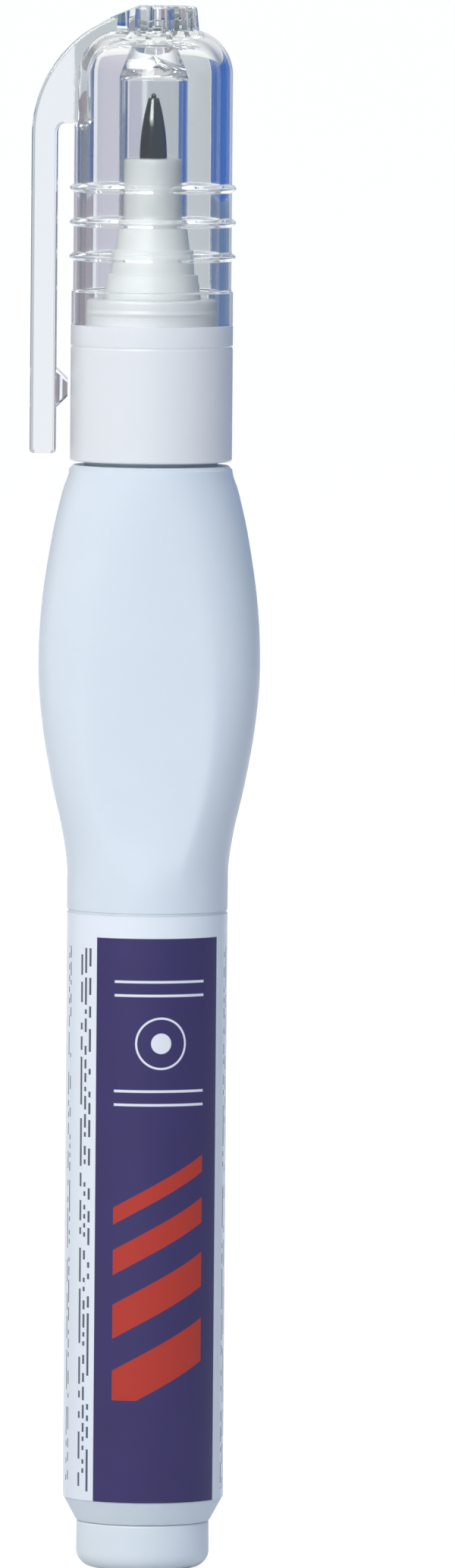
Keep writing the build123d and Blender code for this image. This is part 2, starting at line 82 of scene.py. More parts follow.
plug_radius, plug_foot, plug_top = span("tail_plug")
label_radius, label_foot, label_top = span("label")
collar_radius, collar_foot, spigot_top = span("collar")
flange_radius, nozzle_foot, nozzle_top = span("nozzle")
tip_flange_radius, tip_foot, tip_top = span("metal_tip")
liner_radius, liner_foot, liner_top = span("cap_liner")
ring_radius, clip_foot, crown_top = span("cap")
barrel_foot = box_mm("barrel")[0].z
neck_top = box_mm("barrel")[1].z
clip_outer = -box_mm("cap")[0].x
print(f"the pen is {crown_top:.2f} mm long, its label {2 * label_radius:.2f} mm across")

# %% [markdown]
# ## Mesh helpers
# Most pieces of a pen are turned shapes: an outline beside the axis, swept round it.  Blender's Screw
# modifier or a spin would do it, but a short function that joins rings of points also takes the bulb,
# whose rings aren't round.  Moulded plastic has no knife edges, so a second helper rounds each corner of
# an outline before it is swept.

# %% Outlines
ROUND_STEPS = 5
MOST_REACH_SHARE = 0.48


def rounded(corners, closed=False):
    """Outline points from corners (radius, height, rounding).  A rounding of 0 keeps the corner sharp."""
    outline = []
    last = len(corners) - 1
    for place, (radius, height, rounding) in enumerate(corners):
        corner = Vector((radius, height))
        if rounding == 0 or (not closed and place in (0, last)):
            outline.append(tuple(corner))
            continue
        before = Vector(corners[place - 1][:2]) - corner
        after = Vector(corners[(place + 1) % len(corners)][:2]) - corner
        reach = rounding / math.tan(before.angle(after) / 2)
        reach = min(reach, before.length * MOST_REACH_SHARE, after.length * MOST_REACH_SHARE)
        start = corner + before.normalized() * reach
        end = corner + after.normalized() * reach
        for step in range(ROUND_STEPS + 1):
            share = step / ROUND_STEPS
            pull = 2 * share * (1 - share)
            outline.append(tuple(start * (1 - share) ** 2 + corner * pull + end * share**2))
    return outline


def arc_points(middle, radius, from_angle, to_angle, steps):
    """Points along an arc round a middle, between two angles in degrees."""
    points = []
    for step in range(steps + 1):
        angle = math.radians(from_angle + (to_angle - from_angle) * step / steps)
        points.append((middle[0] + radius * math.cos(angle), middle[1] + radius * math.sin(angle)))
    return points


print(f"outlines: {ROUND_STEPS} steps to a rounded corner")

# %% Skins and turned shapes
AROUND = 192


def skin(name, rings, closed=False, capped=False):
    """A mesh through rings of points in millimetres.  A ring of one point is a tip."""
    shape = bmesh.new()
    loops = [[shape.verts.new(Vector(point) * MM) for point in ring] for ring in rings]
    pairs = list(zip(loops, loops[1:]))
    if closed:
        pairs.append((loops[-1], loops[0]))
    for lower, upper in pairs:
        count = max(len(lower), len(upper))
        for here in range(count):
            there = (here + 1) % count
            corners = [
                lower[here % len(lower)],
                lower[there % len(lower)],
                upper[there % len(upper)],
                upper[here % len(upper)],
            ]
            shape.faces.new(list(dict.fromkeys(corners)))
    if capped:
        shape.faces.new(loops[0])
        shape.faces.new(loops[-1])
    bmesh.ops.recalc_face_normals(shape, faces=shape.faces)
    mesh = bpy.data.meshes.new(name)
    shape.to_mesh(mesh)
    shape.free()
    piece = bpy.data.objects.new(name, mesh)
    bpy.context.scene.collection.objects.link(piece)
    return piece


def turned(name, outline, closed=False):
    """A piece swept round the pen's axis from an outline of (radius, height) points."""
    rings = []
    for radius, height in outline:
        if radius == 0:
            rings.append([(0, 0, height)])
            continue
        turns = [2 * math.pi * step / AROUND for step in range(AROUND)]
        rings.append([(radius * math.cos(turn), radius * math.sin(turn), height) for turn in turns])
    return skin(name, rings, closed)


print(f"turned shapes: {AROUND} points round the pen")

# %% Shading, body and finish of a piece
SHARP_ANGLE = 38


def smooth(piece):
    """Soft shading, crisp at real edges.  Large faces keep their own direction beside small rounds."""
    mesh = piece.data
    mesh.polygons.foreach_set("use_smooth", [True] * len(mesh.polygons))
    mesh.set_sharp_from_angle(angle=math.radians(SHARP_ANGLE))
    shading = piece.modifiers.new("even_shading", "WEIGHTED_NORMAL")
    shading.keep_sharp = True


def settle(piece, body, node, material):
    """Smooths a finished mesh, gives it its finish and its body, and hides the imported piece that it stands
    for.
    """
    smooth(piece)
    piece.data.materials.clear()
    piece.data.materials.append(material)
    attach(piece, body)
    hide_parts(node)
    print(f"{piece.name}: {len(piece.data.polygons)} faces, stands for {node}")


print(f"edges over {SHARP_ANGLE} degrees stay crisp")

# %% [markdown]
# ## Shader helpers
# Each finish is a Principled BSDF fed by a few textures.  Writing every node by hand buries the idea of a
# material in plumbing, so small functions make a node, feed its sockets, start a material or a group, and
# set the shader's roughness and relief.

# %% Node helpers
def feed(tree, node, **sockets):
    """Sets or links a node's inputs by their names, or by their numbers as i0, i1 and so on."""
    for name, value in sockets.items():
        key = int(name[1:]) if name[1:].isdigit() else name.replace("_", " ")
        if isinstance(value, bpy.types.NodeSocket):
            tree.links.new(value, node.inputs[key])
        else:
            node.inputs[key].default_value = value


def add_node(tree, kind, settings=None, **sockets):
    """A node of a kind, with attributes from settings and with its inputs fed."""
    node = tree.nodes.new(kind)
    for name, value in (settings or {}).items():
        setattr(node, name, value)
    feed(tree, node, **sockets)
    return node


def math_node(tree, operation, first, second=0.0, third=0.0):
    """The output of a Math node."""
    node = add_node(tree, "ShaderNodeMath", {"operation": operation}, i0=first, i1=second, i2=third)
    return node.outputs[0]


def blend_colours(tree, share, first, second):
    """A colour between two, by a share from 0 to 1.  The Mix node's colours are its sockets 6 and 7."""
    return add_node(tree, "ShaderNodeMix", {"data_type": "RGBA"}, i0=share, i6=first, i7=second).outputs[2]


def remap(tree, value, from_low, from_high, to_low=0.0, to_high=1.0):
    """A value moved from one range to another and kept inside it."""
    limits = {"i1": from_low, "i2": from_high, "i3": to_low, "i4": to_high}
    return add_node(tree, "ShaderNodeMapRange", i0=value, **limits).outputs[0]


def start_material(name):
    """A material with a plain Principled BSDF: the material, its node tree and the shader."""
    material = bpy.data.materials.new(name)
    material.use_nodes = True
    tree = material.node_tree
    shader = tree.nodes["Principled BSDF"]
    return material, tree, shader


def start_group(name, inputs, outputs):
    """A shader node group with named value sockets: its tree, its input node and its output node."""
    group = bpy.data.node_groups.new(name, "ShaderNodeTree")
    for socket, default in inputs.items():
        made = group.interface.new_socket(socket, in_out="INPUT", socket_type="NodeSocketFloat")
        made.default_value = default
    for socket in outputs:
        group.interface.new_socket(socket, in_out="OUTPUT", socket_type="NodeSocketFloat")
    return group, group.nodes.new("NodeGroupInput"), group.nodes.new("NodeGroupOutput")


def use_group(tree, group, **values):
    """A group placed in a material, with its own values."""
    return add_node(tree, "ShaderNodeGroup", {"node_tree": group}, **values)


def bump(tree, shader, height, strength, depth_mm):
    """Feeds a height into the shader's normal, as a relief of that depth."""
    relief = add_node(tree, "ShaderNodeBump", Strength=strength, Distance=depth_mm * MM, Height=height)
    feed(tree, shader, Normal=relief.outputs[0])


def set_roughness(tree, shader, gloss, rough, rubs=0.0, rub_share=0.0):
    """Roughness between two values by the gloss patches, and duller where the face is rubbed."""
    plain = remap(tree, gloss, 0.0, 1.0, *rough)
    feed(tree, shader, Roughness=math_node(tree, "MULTIPLY_ADD", rubs, rub_share, plain))


print("node helpers ready")

# %% [markdown]
# ## Moulded skin, a shared effect
# Blow-moulded and injection-moulded plastic copies the mould's fine texture and cools a little unevenly.
# So a moulded face has a very fine grain, a faint mottle of shade and patches that are glossier.  All the
# plastics share this, so it is one node group, placed in each of them with its own scale.

# %% Node group: moulded skin
NOISE_LOW = 0.3
NOISE_HIGH = 0.7
GLOSS_FINENESS = 2.7


def make_moulded_skin():
    """Height of the grain, slow mottle and gloss patches, from noise in the pen's own space."""
    group, given, out = start_group(
        "moulded_skin", {"Grain per mm": 3.0, "Patch per mm": 0.12}, ["Height", "Mottle", "Gloss"]
    )
    place = group.nodes.new("ShaderNodeTexCoord").outputs["Object"]
    grain_scale = math_node(group, "MULTIPLY", given.outputs["Grain per mm"], 1 / MM)
    patch_scale = math_node(group, "MULTIPLY", given.outputs["Patch per mm"], 1 / MM)
    gloss_scale = math_node(group, "MULTIPLY", patch_scale, GLOSS_FINENESS)
    grain = add_node(group, "ShaderNodeTexNoise", Vector=place, Scale=grain_scale, Detail=3.0)
    patch = add_node(group, "ShaderNodeTexNoise", Vector=place, Scale=patch_scale, Detail=2.0)
    gloss = add_node(group, "ShaderNodeTexNoise", Vector=place, Scale=gloss_scale, Detail=4.0)
    mottle = remap(group, patch.outputs[0], NOISE_LOW, NOISE_HIGH)
    uneven = remap(group, gloss.outputs[0], NOISE_LOW, NOISE_HIGH)
    feed(group, out, Height=grain.outputs[0], Mottle=mottle, Gloss=uneven)
    return group


moulded_skin = make_moulded_skin()
print("group", moulded_skin.name, "ready")

# %% [markdown]
# ## Handling marks, a shared effect
# A pen lives in pockets and drawers, so its gloss is crossed by hair-fine rubs that run mostly along it.
# A noise that is stretched along the pen and cut off high up leaves a few thin streaks.  The mask only
# moves the roughness, because such rubs show in the reflection and not in the colour.

# %% Node group: handling marks
RUB_STRETCH = (1.0, 1.0, 0.05)
WORN_PER_MM = 0.15


def make_handling_marks():
    """A mask of thin rubs along the pen."""
    group, given, out = start_group("handling_marks", {"Across per mm": 6.0, "Amount": 0.5}, ["Mask"])
    place = group.nodes.new("ShaderNodeTexCoord").outputs["Object"]
    drawn = add_node(group, "ShaderNodeVectorMath", {"operation": "MULTIPLY"}, i0=place, i1=RUB_STRETCH)
    scale = math_node(group, "MULTIPLY", given.outputs["Across per mm"], 1 / MM)
    streak = add_node(group, "ShaderNodeTexNoise", Vector=drawn.outputs[0], Scale=scale, Detail=2.0)
    worn = add_node(group, "ShaderNodeTexNoise", Vector=place, Scale=WORN_PER_MM / MM, Detail=1.0)
    thin = remap(group, streak.outputs[0], from_low=0.62, from_high=0.70)
    where = remap(group, worn.outputs[0], from_low=0.45, from_high=0.65)
    mask = math_node(group, "MULTIPLY", thin, where)
    feed(group, out, Mask=math_node(group, "MULTIPLY", mask, given.outputs["Amount"]))
    return group


handling_marks = make_handling_marks()
print("group", handling_marks.name, "ready")

# %% [markdown]
# ## White plastics
# The barrel is soft polyethylene full of white fluid, so it has a cool white body, a satin face and light
# that sinks in a little.  The collar is a harder, glossier moulding and the tail plug a duller one, of the
# same plastic as the barrel but painted a little lighter, which stands in for light that its dim place at
# the foot doesn't get.  They differ only in a few values, so one function makes all of them.

# %% Materials: white plastics
PLASTIC_IOR = 1.5


def make_plastic(name, light, dark, rough, grain, sink_mm):
    """A moulded plastic: two near colours, roughness range, grain per mm and its relief, scatter depth."""
    material, tree, shader = start_material(name)
    mould = use_group(tree, moulded_skin, Grain_per_mm=grain[0], Patch_per_mm=0.12)
    rubs = use_group(tree, handling_marks, Across_per_mm=5.0, Amount=0.25)
    set_roughness(tree, shader, mould.outputs["Gloss"], rough, rubs.outputs["Mask"], rub_share=0.12)
    bump(tree, shader, mould.outputs["Height"], strength=0.35, depth_mm=grain[1])
    feed(
        tree,
        shader,
        Base_Color=blend_colours(tree, mould.outputs["Mottle"], (*light, 1), (*dark, 1)),
        IOR=PLASTIC_IOR,
        Subsurface_Weight=0.25,
        Subsurface_Radius=(1.0, 1.05, 1.15),
        Subsurface_Scale=sink_mm * MM,
    )
    return material


barrel_plastic = make_plastic(
    "barrel_plastic",
    light=(0.72, 0.785, 0.84),
    dark=(0.705, 0.77, 0.83),
    rough=(0.34, 0.42),
    grain=(2.5, 0.006),
    sink_mm=1.2,
)
collar_plastic = make_plastic(
    "collar_plastic",
    light=(0.78, 0.795, 0.81),
    dark=(0.772, 0.788, 0.803),
    rough=(0.285, 0.33),
    grain=(4.0, 0.002),
    sink_mm=0.8,
)
# Painted light: the plug's colours are a little lighter than the barrel's to make up for the dim light at
# the foot.
plug_plastic = make_plastic(
    "plug_plastic",
    light=(0.75, 0.81, 0.85),
    dark=(0.735, 0.795, 0.84),
    rough=(0.36, 0.44),
    grain=(3.0, 0.005),
    sink_mm=1.2,
)
nozzle_plastic = make_plastic(
    "nozzle_plastic",
    light=(0.86, 0.88, 0.87),
    dark=(0.84, 0.86, 0.855),
    rough=(0.28, 0.36),
    grain=(4.0, 0.003),
    sink_mm=1.6,
)
print("white plastics:", barrel_plastic.name, collar_plastic.name, plug_plastic.name, nozzle_plastic.name)

# %% [markdown]
# ## Clear plastics
# The cap is clear moulded plastic with a trace of grey-green, which shows only where the eye looks along
# the wall.  That is what absorption inside the solid does: a short way through stays clear and a long way
# takes colour.  Painting the edges darker would look wrong from every other side.  The liner is softer, so
# it gets a rougher face.  Lamp light goes straight through both, and the cap holds some of it back.  A ray
# that has bent or been mirrored many times goes straight on too, because the crown's small teeth would
# hold it until it counts as black.

# %% Materials: clear plastics
MOST_BENDS = 9.5
MOST_MIRRORINGS = 3.5


def make_clear(name, rough, tint, lamp_share, absorb_colour, absorb_density):
    """A clear plastic: roughness range, tint, share of lamp light let through, colour and density inside."""
    material, tree, shader = start_material(name)
    rubs = use_group(tree, handling_marks, Across_per_mm=5.0, Amount=0.5)
    mould = use_group(tree, moulded_skin, Grain_per_mm=1.2, Patch_per_mm=0.2)
    set_roughness(tree, shader, mould.outputs["Gloss"], rough, rubs.outputs["Mask"], rub_share=0.08)
    bump(tree, shader, mould.outputs["Height"], strength=0.12, depth_mm=0.004)
    feed(tree, shader, Base_Color=(*tint, 1), IOR=PLASTIC_IOR, Transmission_Weight=1.0)
    path = tree.nodes.new("ShaderNodeLightPath")
    much_bent = math_node(tree, "GREATER_THAN", path.outputs["Ray Depth"], MOST_BENDS)
    much_mirrored = math_node(tree, "GREATER_THAN", path.outputs["Glossy Depth"], MOST_MIRRORINGS)
    held = math_node(tree, "MAXIMUM", much_bent, much_mirrored)
    straight_on = math_node(tree, "MAXIMUM", path.outputs["Is Shadow Ray"], held)
    share = math_node(tree, "MULTIPLY_ADD", path.outputs["Is Shadow Ray"], lamp_share - 1, 1.0)
    clear = add_node(tree, "ShaderNodeBsdfTransparent", Color=share).outputs[0]
    face = add_node(tree, "ShaderNodeMixShader", i0=straight_on, i1=shader.outputs[0], i2=clear)
    inside = add_node(tree, "ShaderNodeVolumeAbsorption", Density=absorb_density, Color=(*absorb_colour, 1))
    feed(tree, tree.nodes["Material Output"], Surface=face.outputs[0], Volume=inside.outputs[0])
    return material


cap_clear = make_clear(
    "cap_clear",
    rough=(0.01, 0.03),
    tint=(0.98, 0.985, 0.98),
    lamp_share=0.70,
    absorb_colour=(0.56, 0.62, 0.60),
    absorb_density=60.0,
)
liner_clear = make_clear(
    "liner_clear",
    rough=(0.04, 0.07),
    tint=(0.99, 0.995, 1.0),
    lamp_share=1.0,
    absorb_colour=(0.42, 0.44, 0.46),
    absorb_density=90.0,
)
print("clear plastics:", cap_clear.name, liner_clear.name)

# %% [markdown]
# ## Turned steel
# The tip is turned on a lathe and polished, so fine rings run round it and its reflection is drawn out
# along the pen.  A wave along the pen's length gives the rings.  The tip's steel is dark, as in the
# photograph: its dark colour is painted shade for the dark room that polished steel would reflect.  The
# spring and ball share the recipe with a brighter colour.

# %% Materials: steel
DARK_SHARE = 0.8


def make_steel(name, colour, rough, ring_scale, ring_depth_mm):
    """A turned metal: base colour, roughness range, scale per mm of the tool rings' wave, their depth."""
    material, tree, shader = start_material(name)
    place = tree.nodes.new("ShaderNodeTexCoord").outputs["Object"]
    rings = add_node(
        tree,
        "ShaderNodeTexWave",
        {"bands_direction": "Z"},
        Vector=place,
        Scale=ring_scale / MM,
        Distortion=1.5,
        Detail=2.0,
    )
    mould = use_group(tree, moulded_skin, Grain_per_mm=2.0, Patch_per_mm=0.6)
    darker = tuple(DARK_SHARE * part for part in colour)
    tone = blend_colours(tree, mould.outputs["Mottle"], (*colour, 1), (*darker, 1))
    set_roughness(tree, shader, mould.outputs["Gloss"], rough)
    bump(tree, shader, rings.outputs[1], strength=0.3, depth_mm=ring_depth_mm)
    feed(tree, shader, Base_Color=tone, Metallic=1.0)
    return material


# Painted shade: the tip's dark colour stands in for the dark room that its polished steel would reflect.
tip_steel = make_steel("tip_steel", (0.15, 0.16, 0.155), (0.07, 0.11), ring_scale=4.5, ring_depth_mm=0.001)
spring_steel = make_steel(
    "spring_steel", (0.55, 0.55, 0.56), (0.22, 0.34), ring_scale=3.0, ring_depth_mm=0.002
)
ball_steel = make_steel("ball_steel", (0.62, 0.62, 0.64), (0.10, 0.16), ring_scale=1.5, ring_depth_mm=0.0005)
print("steels:", tip_steel.name, spring_steel.name, ball_steel.name)

# %% [markdown]
# ## Squeeze barrel
# The barrel starts as a plain tube and swells into a bulb that is wide from the front and pressed flat
# from the side, with a panel for the thumb on each face.  Sculpting could make it, but a loft through
# sections keeps the real sizes: each section is two crowned panels between two round flanks, and tables
# say how the bulb swells, is pinched and leans along its length.  A light pass over each ring softens the
# line where panel and flank meet, which fades towards the top as on the moulded part.

# %% Barrel sections
PANEL_STEPS = 40
FLANK_STEPS = AROUND // 2 - PANEL_STEPS
CREASE_PASSES = 3
ROUND_CROWN_SHARE = 0.0865
ROUND_LEAN = 24

label_thickness = 0.08
label_recess = 0.1
shoulder_step = 0.05
bulb_swell = 2.75
bulb_pinch = 1.05
bulb_foot = 58.0
bulb_top = 97.0
barrel_wall = 1.0
barrel_radius = label_radius - label_thickness
bulb_foot_radius = barrel_radius + label_recess
shoulder_radius = collar_radius + shoulder_step
bulb_half_width = barrel_radius + bulb_swell
bulb_half_depth = barrel_radius - bulb_pinch
bulb_station_shares = (0, 0.05, 0.10, 0.18, 0.28, 0.41, 0.54, 0.69, 0.85, 0.95, 1)
bulb_swell_shares = (0, 0, 0.01, 0.18, 0.51, 0.84, 1, 0.91, 0.56, 0.22, 0)
bulb_pinch_shares = (0, 0.05, 0.30, 0.70, 0.95, 1, 0.87, 0.60, 0.26, 0.08, 0)
bulb_crown_shares = (0.0865, 0.0865, 0.045, 0.035, 0.030, 0.035, 0.050, 0.055, 0.065, 0.080, 0.0865)
bulb_flank_leans = (24, 24, 26, 30, 29, 24, 18, 15, 17, 21, 24)


def along_bulb(values, place):
    """A table's value at a place along the bulb, on a smooth curve through its stations."""
    stations = bulb_station_shares
    left = max(k for k in range(len(stations) - 1) if stations[k] <= place)

    def slope(k):
        if k in (0, len(stations) - 1):
            return 0.0
        return (values[k + 1] - values[k - 1]) / (stations[k + 1] - stations[k - 1])

    width = stations[left + 1] - stations[left]
    t = (place - stations[left]) / width
    start, end = values[left], values[left + 1]
    curve = (2 * t**3 - 3 * t**2 + 1) * start + (3 * t**2 - 2 * t**3) * end
    return curve + width * ((t**3 - 2 * t**2 + t) * slope(left) + (t**3 - t**2) * slope(left + 1))


def arc_through(half_chord, rise, steps):
    """Points (along, out) of an arc over a chord, from one end up to but not with the other."""
    radius = (half_chord**2 + rise**2) / (2 * rise)
    half_angle = math.atan2(half_chord, radius - rise)
    angles = [half_angle * (2 * step / steps - 1) for step in range(steps)]
    return [(radius * math.sin(angle), rise - radius + radius * math.cos(angle)) for angle in angles]


def barrel_ring(height, half_width, half_depth, crown_share, lean):
    """One ring of the barrel: front panel, right flank, back panel, left flank."""
    edge_y = half_depth * (1 - crown_share)
    edge_x = half_width - edge_y * math.tan(math.radians(90 - lean) / 2)
    panel = arc_through(edge_x, half_depth - edge_y, PANEL_STEPS)
    flank = arc_through(edge_y, half_width - edge_x, FLANK_STEPS)
    ring = [(along, -edge_y - out) for along, out in panel]
    ring += [(edge_x + out, along) for along, out in flank]
    ring += [(-x, -y) for x, y in ring]
    for _ in range(CREASE_PASSES):
        following = ring[1:] + ring[:1]
        leading = ring[-1:] + ring[:-1]
        ring = [
            ((a[0] + 2 * b[0] + c[0]) / 4, (a[1] + 2 * b[1] + c[1]) / 4)
            for a, b, c in zip(leading, ring, following)
        ]
    return [(x, y, height) for x, y in ring]


def round_ring(radius, height):
    """A round ring with as many points as the bulb's rings."""
    return barrel_ring(height, radius, radius, ROUND_CROWN_SHARE, ROUND_LEAN)


def bulb_rings(inset, top, steps):
    """The bulb's rings from its foot to a height, drawn in by an inset."""
    rings = []
    for step in range(steps + 1):
        place = step / steps
        plain = bulb_foot_radius + place * (shoulder_radius - bulb_foot_radius)
        half_width = plain + along_bulb(bulb_swell_shares, place) * (bulb_half_width - plain) - inset
        half_depth = plain + along_bulb(bulb_pinch_shares, place) * (bulb_half_depth - plain) - inset
        crown = along_bulb(bulb_crown_shares, place)
        lean = along_bulb(bulb_flank_leans, place)
        rings.append(barrel_ring(bulb_foot + place * (top - bulb_foot), half_width, half_depth, crown, lean))
    return rings


print(f"bulb: {2 * bulb_half_width:.1f} mm wide, {2 * bulb_half_depth:.1f} mm deep at its waist")

# %% Barrel
OUTER_STEPS = 78
INNER_STEPS = 30
tail_radius = 5.9
tail_bevel_height = 2.0
mouth_radius = 5.15
mouth_depth = 6.0
mouth_taper = 0.9
recess_edge = 0.04
shoulder_edge = 0.35
shoulder_thickness = 1.9
neck_radius = 5.9
neck_bore = 4.8

tail_outline = rounded(
    [
        (mouth_radius, barrel_foot, 0),
        (tail_radius, barrel_foot, 0.2),
        (barrel_radius, barrel_foot + tail_bevel_height, 0.5),
        (barrel_radius, bulb_foot - recess_edge, 0.03),
        (bulb_foot_radius, bulb_foot, 0),
    ]
)
neck_outline = rounded(
    [
        (shoulder_radius - shoulder_edge, bulb_top, 0),
        (neck_radius, bulb_top, 0.2),
        (neck_radius, neck_top, 0.1),
        (neck_bore, neck_top, 0.1),
        (neck_bore, bulb_top - shoulder_thickness, 0),
    ]
)
mouth_outline = [
    (barrel_radius - barrel_wall, bulb_foot),
    (barrel_radius - barrel_wall, barrel_foot + mouth_depth),
    (mouth_radius, barrel_foot + mouth_depth - mouth_taper),
]
outer_bulb = bulb_rings(0, bulb_top - shoulder_edge, OUTER_STEPS)
inner_bulb = bulb_rings(barrel_wall, bulb_top - shoulder_thickness, INNER_STEPS)
barrel_rings = [round_ring(*point) for point in tail_outline]
barrel_rings += outer_bulb[1:]
barrel_rings += [round_ring(*point) for point in neck_outline]
barrel_rings += inner_bulb[::-1][:-1]
barrel_rings += [round_ring(*point) for point in mouth_outline]
barrel_shell = skin("barrel_shell", barrel_rings, closed=True)
settle(barrel_shell, "pen_body", "barrel", barrel_plastic)

# %% [markdown]
# ## Tail plug
# The plug is a small cup that is pressed into the barrel's open end and closes it.  Only its rounded end
# shows.  It is turned from an outline with a large round at the end and a lead at the top.  The edge that
# meets the barrel is rounded too, which leaves the fine dark seam of two moulded parts.

# %% Tail plug
PLUG_ROUND_STEPS = 14
press_gap = 0.02
plug_end_round = 1.45
plug_lip_height = 0.8
plug_lip_round = 0.28
plug_wall = 0.95
plug_floor = 1.5
plug_body_radius = mouth_radius - press_gap
plug_head = barrel_foot - press_gap
plug_round_middle = (plug_radius - plug_end_round, plug_end_round)

plug_outline = [(0, plug_foot)]
plug_outline += arc_points(plug_round_middle, plug_end_round, 270, 360, PLUG_ROUND_STEPS)
plug_outline += rounded(
    [
        (plug_radius, barrel_foot - plug_lip_height, 0),
        (plug_radius, plug_head, plug_lip_round),
        (plug_body_radius, plug_head, 0.05),
        (plug_body_radius, plug_top, 0.3),
        (plug_body_radius - plug_wall, plug_top, 0.15),
        (plug_body_radius - plug_wall, plug_floor, 0.4),
        (0, plug_floor, 0),
    ]
)
tail_cup = turned("tail_cup", plug_outline)
settle(tail_cup, "pen_body", "tail_plug", plug_plastic)

# %% [markdown]
# ## Front collar
# The collar clamps the tip holder on the barrel's neck and carries the cap on a narrower spigot.  It has
# a thin joint line under its top ring.  It is turned as a closed outline, so that it is a real ring.

# %% Collar
collar_edge = 0.25
collar_top = 109.3
collar_bore = 5.92
collar_line_height = 107.4
collar_line_depth = 0.07
collar_line_width = 0.16
spigot_radius = 5.73
spigot_bead_height = 110.4
spigot_bead_half = 0.3
spigot_bead_radius = 5.85
nozzle_hole = 4.27
flange_top = 106.4

collar_outline = rounded(
    [
        (collar_bore, collar_foot, 0.1),
        (collar_radius, collar_foot, collar_edge),
        (collar_radius, collar_line_height - collar_line_width, 0.06),
        (collar_radius - collar_line_depth, collar_line_height, 0.06),
        (collar_radius, collar_line_height + collar_line_width, 0.06),
        (collar_radius, collar_top, 0.05),
        (spigot_radius, collar_top, 0.08),
        (spigot_radius, spigot_bead_height - spigot_bead_half, 0.1),
        (spigot_bead_radius, spigot_bead_height, 0.15),
        (spigot_radius, spigot_bead_height + spigot_bead_half, 0.1),
        (spigot_radius, spigot_top, 0.3),
        (nozzle_hole, spigot_top, 0.08),
        (nozzle_hole, flange_top, 0),
        (collar_bore, flange_top, 0),
    ],
    closed=True,
)
front_collar = turned("front_collar", collar_outline, closed=True)
settle(front_collar, "pen_body", "collar", collar_plastic)

# %% [markdown]
# ## Tip holder
# The tip holder is the stepped, milky cone that shows through the cap.  Its steps are what the mould's
# rings leave, so each edge gets a small round that catches a line of light.

# %% Tip holder
nozzle_body_radius = 4.25
nozzle_plug_radius = 4.78
nozzle_plug_bore = 3.88
cone_top = 118.0
cone_top_radius = 3.0
cone_steps = 2
cone_step = 0.3
nozzle_tube_radius = 2.55
tip_bore = 1.22
chamber_radius = 1.9
chamber_foot = 110.7

cone_corners = [(nozzle_body_radius, spigot_top, 0)]
for step in range(cone_steps):
    share = (step + 1) / (cone_steps + 1)
    step_radius = nozzle_body_radius + share * (cone_top_radius - nozzle_body_radius)
    step_height = spigot_top + share * (cone_top - spigot_top)
    cone_corners.append((step_radius + cone_step / 2, step_height, 0.1))
    cone_corners.append((step_radius - cone_step / 2, step_height, 0.1))
cone_corners.append((cone_top_radius, cone_top, 0.15))
nozzle_outline = rounded(
    [
        (nozzle_plug_bore, nozzle_foot, 0.1),
        (nozzle_plug_radius, nozzle_foot, 0.3),
        (nozzle_plug_radius, neck_top, 0),
        (flange_radius, neck_top, 0.1),
        (flange_radius, flange_top, 0.1),
        (nozzle_body_radius, flange_top, 0),
        *cone_corners,
        (nozzle_tube_radius, cone_top, 0.1),
        (nozzle_tube_radius, nozzle_top, 0.3),
        (tip_bore, nozzle_top, 0.05),
        (tip_bore, cone_top, 0),
        (chamber_radius, cone_top, 0),
        (chamber_radius, chamber_foot, 0),
        (nozzle_plug_bore, neck_top, 0),
    ],
    closed=True,
)
tip_holder = turned("tip_holder", nozzle_outline, closed=True)
settle(tip_holder, "pen_body", "nozzle", nozzle_plastic)

# %% [markdown]
# ## Steel tip
# The tip is a small turned nose with a fine hole, and the point of the valve needle stands out of it.
# Its side is one long arc that leaves the shank without a break, which keeps the highlight in one streak.

# %% Steel tip
NOSE_STEPS = 18
NOSE_SHARE = 0.985
tip_shank_radius = 1.2
tip_end_radius = 0.45
tip_end_edge = 0.02
tip_bore_radius = 0.6
orifice_radius = 0.3
orifice_length = 1.5
seat_length = 1.2

tip_draw = tip_shank_radius - tip_end_radius
nose_length = tip_top - nozzle_top
nose_radius = (tip_draw**2 + nose_length**2) / (2 * tip_draw)
nose_angle = math.degrees(math.asin(nose_length / nose_radius))
nose_middle = (tip_shank_radius - nose_radius, nozzle_top)
tip_outline = [(tip_flange_radius, tip_foot), (tip_flange_radius, cone_top), (tip_shank_radius, cone_top)]
tip_outline += arc_points(nose_middle, nose_radius, 0, nose_angle * NOSE_SHARE, NOSE_STEPS)
tip_outline += [
    (tip_end_radius - tip_end_edge, tip_top),
    (orifice_radius, tip_top),
    (orifice_radius, tip_top - orifice_length),
    (tip_bore_radius, tip_top - orifice_length - seat_length),
    (tip_bore_radius, tip_foot),
]
steel_tip = turned("steel_tip", tip_outline, closed=True)
settle(steel_tip, "pen_body", "metal_tip", tip_steel)

# %% [markdown]
# ## Cap liner
# A clear sleeve inside the cap seals the tip when the cap is on.  It is closed at the top, where a stem
# holds it in the cap's crown.  A hair of air is left round the stem, because two clear faces in the same
# place would flicker.

# %% Cap liner
stem_radius = 1.5
ceiling = 134.2
liner_bore = 2.6
liner_roof = 131.0
liner_roof_rise = 1.8
liner_shoulder_radius = 2.1
liner_shoulder_height = 0.4
air_gap = 0.03

liner_outline = rounded(
    [
        (0, liner_top - air_gap, 0),
        (stem_radius - air_gap, liner_top - air_gap, 0.15),
        (stem_radius - air_gap, ceiling - air_gap, 0.1),
        (liner_shoulder_radius, ceiling - air_gap, 0.12),
        (liner_shoulder_radius, ceiling - liner_shoulder_height, 0.2),
        (liner_radius, liner_roof, 0.6),
        (liner_radius, liner_foot, 0.1),
        (liner_bore, liner_foot, 0.1),
        (liner_bore, liner_roof, 0.6),
        (0, liner_roof + liner_roof_rise, 0),
    ]
)
inner_sleeve = turned("inner_sleeve", liner_outline)
settle(inner_sleeve, "cap", "cap_liner", liner_clear)

